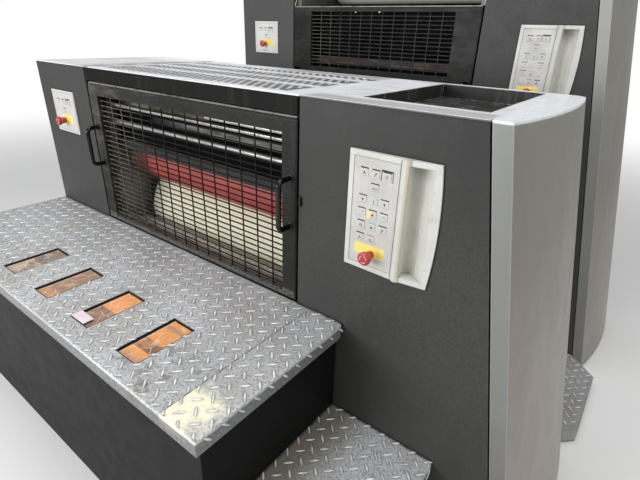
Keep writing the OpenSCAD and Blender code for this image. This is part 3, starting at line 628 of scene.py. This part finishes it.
# Names, two tones and the middle of the roughness
MARKS = (("mark_dark", (0.012, 0.012, 0.015), (0.03, 0.028, 0.03), 0.4),
         ("mark_light", (0.8, 0.79, 0.79), (0.7, 0.66, 0.68), 0.45),
         ("mark_line", (0.22, 0.22, 0.21), (0.12, 0.12, 0.11), 0.6),
         ("mark_yellow", (0.86, 0.73, 0.2), (0.78, 0.63, 0.17), 0.42),
         ("mark_blue", (0.35, 0.5, 0.78), (0.45, 0.58, 0.8), 0.42),
         ("mark_teal", (0.2, 0.45, 0.42), (0.3, 0.5, 0.48), 0.42),
         ("mark_pink", (0.6, 0.16, 0.18), (0.5, 0.2, 0.2), 0.42),
         ("mark_rose", (0.72, 0.36, 0.34), (0.62, 0.25, 0.24), 0.42),
         ("edge_pale", (0.6, 0.58, 0.5), (0.35, 0.33, 0.28), 0.35),
         ("tape", (0.72, 0.66, 0.7), (0.66, 0.5, 0.58), 0.5),
         ("pipe_brass", (0.2, 0.17, 0.1), (0.1, 0.09, 0.07), 0.35))


def plain(name, light, dark, pattern, share, shine, grain, depth, **sockets):
    """Two tones mixed by a noise: its scale, detail and stretch, and the roughness at its two ends."""
    s = Shader(name, **sockets)
    scale, detail, stretch = pattern
    worn = s.noise(scale, detail, 0.6, at=s.stretched(stretch))
    s.start(s.span(worn, *share), light, dark)
    return s.finish(worn, shine, (grain, 2.0), depth)


def tread_ridge():
    return plain("tread_ridge", (0.8, 0.81, 0.82), (0.5, 0.51, 0.515), (60.0, 4.0, EVEN), (0.35, 0.65),
                 (0.32, 0.5), 500.0, 0.0001, Metallic=0.15)


def cover_oval():
    return plain("cover_oval", (0.8, 0.8, 0.81), (0.5, 0.5, 0.51), (55.0, 4.0, EVEN), (0.35, 0.65),
                 (0.3, 0.46), 500.0, 0.0001, Metallic=0.1)


def plate_silver():
    return plain("plate_silver", (0.97, 0.97, 0.93), (0.9, 0.9, 0.85), (9.0, 5.0, (0.4, 3.0, 3.0)),
                 (0.35, 0.7), (0.22, 0.36), 350.0, 0.0001, Metallic=0.05)


def bright_bar():
    return plain("bright_bar", (0.8, 0.79, 0.75), (0.42, 0.4, 0.34), (20.0, 5.0, (0.5, 3.0, 3.0)),
                 (0.4, 0.7), (0.28, 0.42), 250.0, 0.00005, Metallic=0.7)


def screw_bright():
    return plain("screw_bright", (0.9, 0.9, 0.88), (0.7, 0.7, 0.68), (300.0, 3.0, EVEN), (0.35, 0.65),
                 (0.25, 0.4), 800.0, 0.00004, Metallic=0.4)


def stop_red():
    return plain("stop_red", (0.42, 0.016, 0.015), (0.28, 0.011, 0.011), (60.0, 4.0, EVEN), (0.4, 0.7),
                 (0.22, 0.36), 400.0, 0.00004, Coat_Weight=0.6, Coat_Roughness=0.12)


def make_materials():
    makers = (housing_charcoal, fascia_black, plinth_black, handle_black, frame_iron, tray_grey,
              guard_black, tall_guard_black, mesh_black, shield_black, beam_iron, red_blanket,
              cream_jacket, cover_pattern, top_grey, tread_plate, slot_copper, cover_grey, cap_grey,
              small_white, panel_white, keypad_white, tread_ridge, cover_oval, plate_silver, bright_bar,
              screw_bright, stop_red)
    shaders = [make() for make in makers]
    for name, light, dark, rough in MARKS:
        shaders.append(plain(name, light, dark, (45.0, 4.0, EVEN), (0.35, 0.7),
                             (rough - 0.06, rough + 0.08), 500.0, 0.00003))
    return {s.name: s.mat for s in shaders}


# Shapes

class Form:
    """One piece, gathered from many small shapes. Points are in millimetres."""

    def __init__(self):
        self.verts = []
        self.faces = []

    def skin(self, rings, close=True):
        """Faces between rings of points; the last ring is closed by one face."""
        start = len(self.verts)
        n = len(rings[0])
        for ring in rings:
            self.verts += [(x / 1000, y / 1000, z / 1000) for x, y, z in ring]
        for k in range(len(rings) - 1):
            a = start + k * n
            for i in range(n):
                j = (i + 1) % n
                self.faces.append((a + i, a + j, a + n + j, a + n + i))
        if close:
            a = start + (len(rings) - 1) * n
            self.faces.append(tuple(range(a, a + n)))

    def piece(self, name, shader, body="press", smooth=False):
        mesh = bpy.data.meshes.new(name)
        mesh.from_pydata(self.verts, [], self.faces)
        mesh.polygons.foreach_set("use_smooth", [smooth] * len(mesh.polygons))
        mesh.materials.append(made[shader])
        o = linked(name, mesh)
        fix = bmesh.new()
        fix.from_mesh(mesh)
        bmesh.ops.recalc_face_normals(fix, faces=fix.faces)
        fix.to_mesh(mesh)
        fix.free()
        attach(o, body)


def level(z):
    """A level plane at height z."""
    return lambda x, y, w: (x, y, z + w)


def front(y):
    """An upright plane that faces the viewer at depth y; w stands out from it."""
    return lambda x, z, w: (x, y - w, z)


def folded(x1, y0, top):
    """The top of a folded plate, carried on round its two folds and down its edges."""
    def bend(s, end):
        over = max(s - end, 0.0)
        turn = min(over / FOLD_R, math.pi / 2)
        rest = max(over - FOLD_R * math.pi / 2, 0.0)
        drop = FOLD_R * (1 - math.cos(turn)) + rest
        return min(s, end) + FOLD_R * math.sin(turn), drop, math.sin(turn), math.cos(turn)

    def place(x, y, w):
        if x > x1 - FOLD_R:
            along, drop, out, up = bend(x, x1 - FOLD_R)
            return along + out * w, y, top - drop + up * w
        along, drop, out, up = bend(-y, -y0 - FOLD_R)
        return x, -along - out * w, top - drop + up * w
    return place


def corners(x0, x1, z0, z1):
    """Outline of a rectangle."""
    return [(x0, z0), (x1, z0), (x1, z1), (x0, z1)]


def rounded(x0, x1, z0, z1, r, steps=3):
    """Outline of a rectangle with rounded corners."""
    points = []
    centres = ((x1 - r, z1 - r, 0), (x0 + r, z1 - r, 90), (x0 + r, z0 + r, 180), (x1 - r, z0 + r, 270))
    for cx, cz, start in centres:
        for k in range(steps + 1):
            a = math.radians(start + 90 * k / steps)
            points.append((cx + r * math.cos(a), cz + r * math.sin(a)))
    return points


def round_angles(n):
    """Angles of n points round a circle."""
    return [2 * math.pi * k / n for k in range(n)]


def disc(x, z, r, n):
    """Outline of a circle."""
    return [(x + r * math.cos(a), z + r * math.sin(a)) for a in round_angles(n)]


def raised(form, place, outline, low, high, bevel, inset):
    """A prism on a surface, with a small bevel round its top."""
    cx = sum(p[0] for p in outline) / len(outline)
    cz = sum(p[1] for p in outline) / len(outline)
    size = max(max(abs(p[0] - cx), abs(p[1] - cz)) for p in outline)
    k = 1 - inset / size
    form.skin([[place(x, z, low) for x, z in outline],
               [place(x, z, high - bevel) for x, z in outline],
               [place(cx + (x - cx) * k, cz + (z - cz) * k, high) for x, z in outline]])


def washer(form, place, x, z, r_in, r_out, low, high, n=28):
    """A ring on a surface."""
    rings = []
    for r, w in ((r_in, low), (r_in, high), (r_out, high), (r_out, low)):
        rings.append([place(px, pz, w) for px, pz in disc(x, z, r, n)])
    form.skin(rings, close=False)


def rod(form, a, b, r, n=14):
    """A round bar between two points, closed at both ends."""
    start, end = Vector(a), Vector(b)
    axis = (end - start).normalized()
    side = axis.orthogonal().normalized()
    other = axis.cross(side)
    rings = []
    for at, size in ((start, 0.01), (start, r), (end, r), (end, 0.01)):
        rings.append([at + (side * math.cos(a) + other * math.sin(a)) * size for a in round_angles(n)])
    form.skin([[tuple(p) for p in ring] for ring in rings])


# Tread pattern

# Where one lozenge lies, and half the pitch in both directions
LEFT_LATTICE = (-863.0, -421.5, 24.9, 23.5)
MIDDLE_LATTICE = (161.5, -326.0, 23.75, 24.05)
RIGHT_LATTICE = (601.5, -361.3, 25.2, 23.6)
STEP_LATTICE = (700.0, -500.0, 24.6, 23.8)
LOZENGE_LONG, LOZENGE_WIDE, LOZENGE_HIGH = 14.5, 3.6, 1.5
LOZENGE_POINTS = 10

# Plain margins: along the seams, at the decks' near edge and at the thresholds' cut corners
EDGE, NEAR_EDGE = 1.5, 2.0
THRESHOLD_CUT, CUT_EDGE = 110.0, 20.0

# Rows of ovals on the low unit's top: the depth, and the shift in pitches
OVAL_ROWS = ((-257, 0), (-233, 0.5), (-209, 0), (-185, 0.5), (-161, 0), (-101, 0.5), (-73, 0), (-45, 0.5),
             (17, 0), (45, 0.5), (73, 0), (155, 0.5), (175, 0), (195, 0.5))
OVAL_X, OVAL_PITCH, OVALS = -428, 31.0, 28
OVAL_LONG, OVAL_WIDE, OVAL_POINTS = 9.5, 4.5, 12


def lozenge(form, place, x, y, turn, keep):
    c, s = math.cos(turn), math.sin(turn)
    rings = []
    for long, wide, lift in ((1.0, 1.0, -0.3), (0.92, 0.8, 0.7), (0.78, 0.5, 1.0)):
        ring = []
        for a in round_angles(LOZENGE_POINTS):
            p = LOZENGE_LONG * long * math.cos(a)
            q = LOZENGE_WIDE * wide * math.sin(a) * (1 - 0.3 * abs(math.cos(a)))
            u, v = keep(x + p * c - q * s, y + p * s + q * c)
            ring.append(place(u, v, lift * LOZENGE_HIGH))
        rings.append(ring)
    form.skin(rings)


def tread(form, place, x0, x1, y0, y1, lattice, holes=(), inside=None):
    """Raised lozenges in two directions over a sheet, cut at its edges and round its holes."""
    def keep(u, v):
        u = min(max(u, x0), x1)
        v = min(max(v, y0), y1)
        for a0, a1, b0, b1 in holes:
            if a0 < u < a1 and b0 < v < b1:
                _, side = min((u - a0, 0), (a1 - u, 1), (v - b0, 2), (b1 - v, 3))
                u, v = ((a0, v), (a1, v), (u, b0), (u, b1))[side]
        return u, v

    at_x, at_y, half_x, half_y = lattice
    i0, i1 = int((x0 - at_x) / half_x) - 1, int((x1 - at_x) / half_x) + 1
    j0, j1 = int((y0 - at_y) / half_y) - 1, int((y1 - at_y) / half_y) + 1
    for i in range(i0, i1 + 1):
        for j in range(j0, j1 + 1):
            if (i + j) % 2:
                continue
            x, y = at_x + i * half_x, at_y + j * half_y
            if not (x0 + 1 < x < x1 - 1 and y0 + 1 < y < y1 - 1):
                continue
            if any(a0 - 2 < x < a1 + 2 and b0 - 2 < y < b1 + 2 for a0, a1, b0, b1 in holes):
                continue
            if inside and not inside(x, y):
                continue
            turn = math.radians(45 if i % 2 == 0 else -45)
            lozenge(form, place, x, y, turn, keep)


def make_deck_treads():
    slots = []
    for i in range(4):
        x = SLOT_X + i * SLOT_PITCH
        slots.append((x - SLOT_W / 2, x + SLOT_W / 2, SLOT_Y, SLOT_Y + SLOT_L))
    fold = FOLD_R * math.pi / 2 - FOLD_R + FOLD_H - FOLD_R
    y0 = WALK_Y + FOLD_R - NEAR_EDGE
    sheets = ((LEFT_X + EDGE, SEAMS[0] - EDGE, LEFT_LATTICE),
              (SEAMS[0] + EDGE, SEAMS[1] - EDGE, MIDDLE_LATTICE),
              (SEAMS[1] + EDGE, DECK_X + fold, RIGHT_LATTICE))
    form = Form()
    for x0, x1, lattice in sheets:
        tread(form, folded(DECK_X, WALK_Y, DECK_Z), x0, x1, y0, LOW_Y - EDGE, lattice, slots)
    form.piece("front_deck_tread", "tread_ridge")

    form = Form()
    for x0, x1, lattice in sheets:
        tread(form, level(DECK_Z), x0, min(x1, DECK_X - EDGE), GALLERY_Y + EDGE, TALL_Y - EDGE, lattice)
    form.piece("gallery_deck_tread", "tread_ridge")

    form = Form()
    x0 = STEP_X + EDGE
    tread(form, folded(STEP_END, WALK_Y, STEP_Z), x0, STEP_END + fold, y0, LOW_Y - EDGE, STEP_LATTICE)
    tread(form, level(STEP_Z), x0, STEP_END - EDGE, GALLERY_Y + EDGE, TALL_Y - EDGE, STEP_LATTICE)
    form.piece("step_tread", "tread_ridge")


def make_threshold_treads():
    form = Form()
    x1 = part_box("threshold_plates")[1][0] * 1000
    for y0, y1 in ((WALK_Y, LOW_Y), (GALLERY_Y, TALL_Y)):
        def inside(x, y):
            return min(y - y0, y1 - y) + (x1 - x) > THRESHOLD_CUT + CUT_EDGE

        tread(form, level(THRESHOLD_Z), STEP_END + EDGE, x1 - EDGE, y0 + EDGE, y1 - EDGE, STEP_LATTICE,
              inside=inside)
    form.piece("threshold_tread", "tread_ridge")


def make_ovals():
    """Anti-slip ovals on the low unit's top, in rows."""
    form = Form()
    for y, shift in OVAL_ROWS:
        for k in range(OVALS):
            x = OVAL_X + (k + shift) * OVAL_PITCH
            rings = []
            for size, lift in ((1.0, -0.1), (0.8, 0.4), (0.5, 0.5)):
                long, wide = OVAL_LONG * size, OVAL_WIDE * size
                rings.append([(x + long * math.cos(a), y + wide * math.sin(a), LOW_TOP + lift)
                              for a in round_angles(OVAL_POINTS)])
            form.skin(rings)
    form.piece("low_cover_ovals", "cover_oval", smooth=True)


# Control panels

KEY_X = (43.4, 74.4, 104.5)
KEY_Z = (259.6, 226.2, 193.6, 161.0, 128.4, 95.8)
KEY_HALF, BAR_HALF, SIGN_DROP, LINE_W = 11, 1.7, 11.5, 1.7
KEYPAD_SUNK = 1


def key_grid(*rows):
    """Signs by row and column; a dash stands for a place without a key."""
    grid = [(row, col, kind) for row, words in enumerate(rows) for col, kind in enumerate(words.split())]
    return {(row, col): kind for row, col, kind in grid if kind != "-"}


LOW_KEYS = key_grid("foot slash ring", "- arrows -", "drop bar drop", "dot blob dot", "ring blob slash",
                    "foot ring -")
TALL_KEYS = key_grid("foot slash ring", "- arrows -", "drop bar drop", "dot - dot", "ring blob -",
                     "- ring foot")
SMALL_KEYS = ((46, 131, "foot"), (81, 131, "slash"), (121, 131, "ring"), (86, 96, "arrows"))
TINTS = {(2, 1): "mark_blue", (4, 1): "mark_teal", (5, 1): "mark_pink"}

# Rectangles as x0, x1, z0, z1: round one key, round the framed key, and lines round the key field
KEY_BORDER = ((-10.5, 10.5, -19.6, -19.0), (-10.5, 10.5, -3.4, -2.9), (-10.8, -10.2, -19.6, -2.9),
              (10.2, 10.8, -19.6, -2.9))
KEY_FRAME = ((-15, 15.5, 0.5, 4.5), (-15.5, -14, -21, 4), (14.5, 16, -22, 4))
SMALL_FRAME = ((104, 138, 131.5, 135.5), (103.5, 105, 108, 135), (137, 138.5, 107, 135))
KEY_LINES = ((13.0, 14.1, 13, 285), (13, 136, 283.9, 285), (13, 136, 13, 13.9))
SMALL_LINES = ((9, 10, 9, 157), (165, 166, 9, 157), (9, 166, 156, 157), (9, 166, 9, 10))

# The stops' places on the large and the small panel, and the yellow ring round each
STOP_X, STOP_Z = 80, 48
SMALL_STOP_X, SMALL_STOP_Z = 83, 49
RING_IN, RING_OUT = 9.5, 14


def symbol(form, place, kind, x, z, low):
    """A small generic sign on a key."""
    def flat(outline):
        raised(form, place, [(x + px, z + pz) for px, pz in outline], low, low + 0.15, 0.02, 0.02)

    def line(x0, z0, x1, z1):
        length = math.hypot(x1 - x0, z1 - z0)
        a, b = (x1 - x0) / length * LINE_W / 2, (z1 - z0) / length * LINE_W / 2
        flat([(x0 - b, z0 + a), (x0 + b, z0 - a), (x1 + b, z1 - a), (x1 - b, z1 + a)])

    if kind == "ring":
        washer(form, place, x, z, 2.3, 3.6, low, low + 0.15, 12)
    elif kind == "dot":
        flat(disc(2, 3, 1.7, 8))
    elif kind == "blob":
        flat(disc(0, 0, 2.9, 10))
    elif kind == "drop":
        flat([(-3, 3.5), (3.5, 3.5), (1, -3)])
    elif kind == "bar":
        line(0, -4, 0, 4)
    elif kind == "slash":
        line(-3, -4, 3, 4)
        line(-1, 4, 3, 4)
    elif kind == "arrows":
        line(-6, 0, -2, 0)
        flat([(-2, -2.2), (0.6, 0), (-2, 2.2)])
        line(2, 0, 6, 0)
    elif kind == "foot":
        line(0, 0, 0, 4)
        line(-4, -3, 0, 0)
        line(0, 0, 4, -3)


def key_bar(form, face, x, z):
    """The coloured bar above a key's sign."""
    outline = rounded(x - KEY_HALF, x + KEY_HALF, z - BAR_HALF, z + BAR_HALF, 0.8, 2)
    raised(form, face, outline, 0, 0.2, 0.05, 0.1)


def strips(form, face, x, z, rectangles, low, high, bevel):
    """Flat strips, placed from one point of the panel."""
    for x0, x1, z0, z1 in rectangles:
        raised(form, face, corners(x + x0, x + x1, z + z0, z + z1), low, high, bevel, bevel)


def make_large_panel(unit, y0, lift, keys):
    def face(x, z, w):
        return PANEL_X + x, y0 - PANEL_T - PANEL_RISE * x / RIDGE_X + KEYPAD_SUNK - w, PANEL_Z + lift + z

    dark, light, lines, yellow = Form(), Form(), Form(), Form()
    tinted = {name: Form() for name in TINTS.values()}
    for (row, col), kind in keys.items():
        x, z = KEY_X[col], KEY_Z[row]
        key_bar(tinted[TINTS[row, col]] if (row, col) in TINTS else dark, face, x, z)
        symbol(dark, face, kind, x, z - SIGN_DROP, 1.2)
        strips(light, face, x, z, KEY_BORDER, 1.1, 1.3, 0.05)
    # The framed key, the lines round the key field and the line along the ridge
    strips(dark, face, KEY_X[2], KEY_Z[0], KEY_FRAME, 0, 0.5, 0.1)
    strips(lines, face, 0, 0, KEY_LINES, -0.2, 0.12, 0.02)
    strips(lines, face, 0, 0, [(136.2, 138.4, 1, 296)], -1.0, 1.15, 0.05)
    raised(yellow, face, rounded(30, 115, 40, 70, 1.5), 0, 0.2, 0.05, 0.1)
    if (3, 1) in keys:
        raised(yellow, face, corners(59, 70, 139, 158), 1.15, 1.3, 0.02, 0.05)
    washer(yellow, face, STOP_X, STOP_Z, RING_IN, RING_OUT, -0.2, 5.0)
    dark.piece(unit + "_key_marks", "mark_dark")
    light.piece(unit + "_key_borders", "mark_light")
    lines.piece(unit + "_key_lines", "mark_line")
    yellow.piece(unit + "_stop_field", "mark_yellow")
    for name, form in tinted.items():
        if form.faces:
            form.piece(unit + "_key_" + name[5:], name)


def make_small_panel(unit, y0, lift):
    def face(x, z, w):
        return SMALL_X + x, y0 - SMALL_T - w, SMALL_Z + lift + z

    dark, lines, yellow = Form(), Form(), Form()
    for x, z, kind in SMALL_KEYS:
        key_bar(dark, face, x, z)
        symbol(dark, face, kind, x, z - SIGN_DROP, 0)
    strips(dark, face, 0, 0, SMALL_FRAME, 0, 0.5, 0.1)
    strips(lines, face, 0, 0, SMALL_LINES, 0, 0.12, 0.02)
    raised(yellow, face, rounded(57, 138, 36, 72, 1.5), 0, 0.2, 0.05, 0.1)
    washer(yellow, face, SMALL_STOP_X, SMALL_STOP_Z, RING_IN, RING_OUT, -0.2, 5.0)
    dark.piece(unit + "_left_marks", "mark_dark")
    lines.piece(unit + "_left_lines", "mark_line")
    yellow.piece(unit + "_left_field", "mark_yellow")


def make_stop_mark(unit, side, x, foot, z):
    """Turn-to-release marks on an emergency stop's head: three arcs."""
    form = Form()
    for k in range(3):
        outline = []
        for r, steps in ((10.5, range(6)), (7.8, range(5, -1, -1))):
            for n in steps:
                a = math.radians(120 * k + 16 * n)
                outline.append((x + r * math.cos(a), z + r * math.sin(a)))
        raised(form, front(foot - STOP_NECK - STOP_HEAD), outline, -0.2, 0.3, 0.05, 0.1)
    form.piece(unit + "_" + side + "_stop_mark", "mark_rose", unit + "_" + side + "_stop")


def make_panels():
    units = (("low", LOW_Y, 0, LOW_KEYS), ("tall", TALL_Y, TALL_LIFT, TALL_KEYS))
    for unit, y0, lift, keys in units:
        make_large_panel(unit, y0, lift, keys)
    for unit, y0, lift, _ in units:
        make_small_panel(unit, y0, lift)
    slope = PANEL_T + PANEL_RISE * STOP_X / RIDGE_X
    for unit, y0, lift, _ in units:
        make_stop_mark(unit, "right", PANEL_X + STOP_X, y0 - slope, PANEL_Z + lift + STOP_Z)
        make_stop_mark(unit, "left", SMALL_X + SMALL_STOP_X, y0 - SMALL_T, SMALL_Z + lift + SMALL_STOP_Z)


# Fittings on the guards and inside

HANDLE_X = 488
HANDLE_Z = (890, 1030)
TALL_HANDLE_LIFT = 173
FRAME_X = 493.0
BEARINGS = ((LOW_Y + 373, 652, 62), (LOW_Y + 200, 907, 48), (TALL_Y + 400, 1632, 46))
PIPES = ((LOW_Y + 52, 690, 1180, 6), (LOW_Y + 44, 700, 1120, 4), (LOW_Y + 120, 1010, 1190, 7))
PIPE_X, CLAMP_X = -485, -476
CLAMPS_Z = (760, 880, 1090)
OPENING_X, OPENING_R = 516.5, 2.2


def make_guard_fittings():
    # Catch beside the low guard's free edge
    form = Form()
    raised(form, front(LOW_Y), rounded(524.5, 533, 962, 988, 3), 0, 6, 1.5, 1.5)
    form.piece("low_guard_catch", "handle_black")

    # Flanges that hold the handles
    for unit, y, lift in (("low", LOW_Y, 0), ("tall", TALL_Y, TALL_HANDLE_LIFT)):
        form = Form()
        for x in (-HANDLE_X, HANDLE_X):
            for z in HANDLE_Z:
                raised(form, front(y + 2), disc(x, z + lift, 13, 24), -0.5, 3, 1, 1.2)
        form.piece(unit + "_handle_flanges", "handle_black", unit + "_guard")

    # Screws on the tall guard's mesh
    form = Form()
    mesh_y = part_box("tall_guard_mesh")[0][1] * 1000
    for x in (-125, 12):
        raised(form, front(mesh_y), disc(x, 1486, 4.5, 16), -2, 2, 0.8, 1)
    form.piece("tall_mesh_screws", "screw_bright", "tall_guard")


def make_bearing_flanges():
    """Bearing flanges with six screws each, on the inner side of both side frames."""
    form = Form()
    for x, out in ((-FRAME_X, 1), (FRAME_X, -1)):
        def wall(a, b, w):
            return x + out * w, a, b

        for y, z, r in BEARINGS:
            washer(form, wall, y, z, 26, r, -0.2, 6)
            for k in range(6):
                a = math.pi * k / 3
                screw = disc(y + (r - 10) * math.cos(a), z + (r - 10) * math.sin(a), 5, 6)
                raised(form, wall, screw, 6, 9.5, 0.8, 0.8)
    form.piece("bearing_flanges", "frame_iron")


def make_small_fittings():
    # Oil pipes with their clamps along the low unit's left side frame
    form = Form()
    for y, z0, z1, r in PIPES:
        rod(form, (PIPE_X, y, z0), (PIPE_X, y, z1), r)
    for z in CLAMPS_Z:
        rod(form, (-FRAME_X, LOW_Y + 52, z), (CLAMP_X, LOW_Y + 52, z), 9)
    form.piece("oil_pipes", "pipe_brass")

    # Light edges at the ends of the tall unit's opening
    form = Form()
    for x in (-OPENING_X, OPENING_X):
        rod(form, (x, TALL_Y + 6, 1514), (x, TALL_Y + 30, 1560), OPENING_R, 8)
        rod(form, (x, TALL_Y + 30, 1560), (x, TALL_Y + 30, 1700), OPENING_R, 8)
    form.piece("tall_opening_edges", "edge_pale")

    # A strip of tape across the third slot's corner
    form = Form()
    raised(form, level(DECK_Z + 1.5), corners(80, 145, -758, -727), 0, 0.4, 0.1, 0.2)
    form.piece("deck_tape", "tape")


# Lights and surroundings

def area_light(name, at, aim, size, power):
    data = bpy.data.lights.new(name, "AREA")
    data.shape = "RECTANGLE"
    data.size, data.size_y = size
    data.energy = power
    o = linked(name, data)
    o.location = at
    o.rotation_euler = (Vector(aim) - Vector(at)).to_track_quat("-Z", "Y").to_euler()


def make_world():
    """Soft light from all sides, and plain white for the camera."""
    world = bpy.data.worlds.new("world")
    bpy.context.scene.world = world
    world.use_nodes = True
    tree = world.node_tree
    soft = tree.nodes["Background"]
    soft.inputs[0].default_value = (0.97, 0.98, 1.0, 1)
    soft.inputs[1].default_value = 0.46
    seen = tree.nodes.new("ShaderNodeBackground")
    seen.inputs[0].default_value = (1, 1, 1, 1)
    seen.inputs[1].default_value = 1.0
    path = tree.nodes.new("ShaderNodeLightPath")
    mix = tree.nodes.new("ShaderNodeMixShader")
    tree.links.new(path.outputs["Is Camera Ray"], mix.inputs[0])
    tree.links.new(soft.outputs[0], mix.inputs[1])
    tree.links.new(seen.outputs[0], mix.inputs[2])
    tree.links.new(mix.outputs[0], tree.nodes["World Output"].inputs[0])


def make_floor():
    """A plain pale floor. Away from the press it fades into the white backdrop, for camera rays alone."""
    mesh = bpy.data.meshes.new("floor")
    r = 30.0
    mesh.from_pydata([(-r, -r, 0), (r, -r, 0), (r, r, 0), (-r, r, 0)], [], [(0, 1, 2, 3)])
    floor = linked("floor", mesh)
    s = Shader("floor_plain", Roughness=0.7)
    s.join(s.mix(s.noise(1.5, 3.0), (0.74, 0.74, 0.73), (0.78, 0.78, 0.77)), s.bsdf.inputs["Base Color"])
    white_light = s.add("ShaderNodeEmission")
    path = s.add("ShaderNodeLightPath")
    far = s.add("ShaderNodeVectorMath", operation="LENGTH")
    s.join(s.at, far.inputs[0])
    blend = s.add("ShaderNodeMixShader")
    fade = s.also(s.span(far.outputs["Value"], 2.6, 8.0), path.outputs["Is Camera Ray"])
    s.join(fade, blend.inputs[0])
    s.join(s.bsdf.outputs[0], blend.inputs[1])
    s.join(white_light.outputs[0], blend.inputs[2])
    s.join(blend.outputs[0], s.tree.nodes["Material Output"].inputs[0])
    mesh.materials.append(s.mat)
    floor.location.z = -0.0005


bpy.context.scene.view_settings.view_transform = "Standard"
made = make_materials()
slot_of = {p["node"]: p["material_slot"] for p in frame["record"]["subparts"]}
for name, o in nodes.items():
    o.data.materials.clear()
    o.data.materials.append(made[OWN_SHADER.get(name, slot_of[name])])

make_deck_treads()
make_threshold_treads()
make_ovals()
make_panels()
make_guard_fittings()
make_bearing_flanges()
make_small_fittings()
make_camera()
make_world()
make_floor()
area_light("overhead", (0.4, -0.3, 4.2), (0.2, 0.2, 0.5), (3.6, 3.2), 108)
area_light("front_left", (-1.2, -3.7, 1.6), (0.1, 0, 0.8), (2.4, 1.3), 104)
area_light("right", (3.8, -1.2, 2.6), (0.8, 0.3, 0.7), (1.6, 2.4), 30)
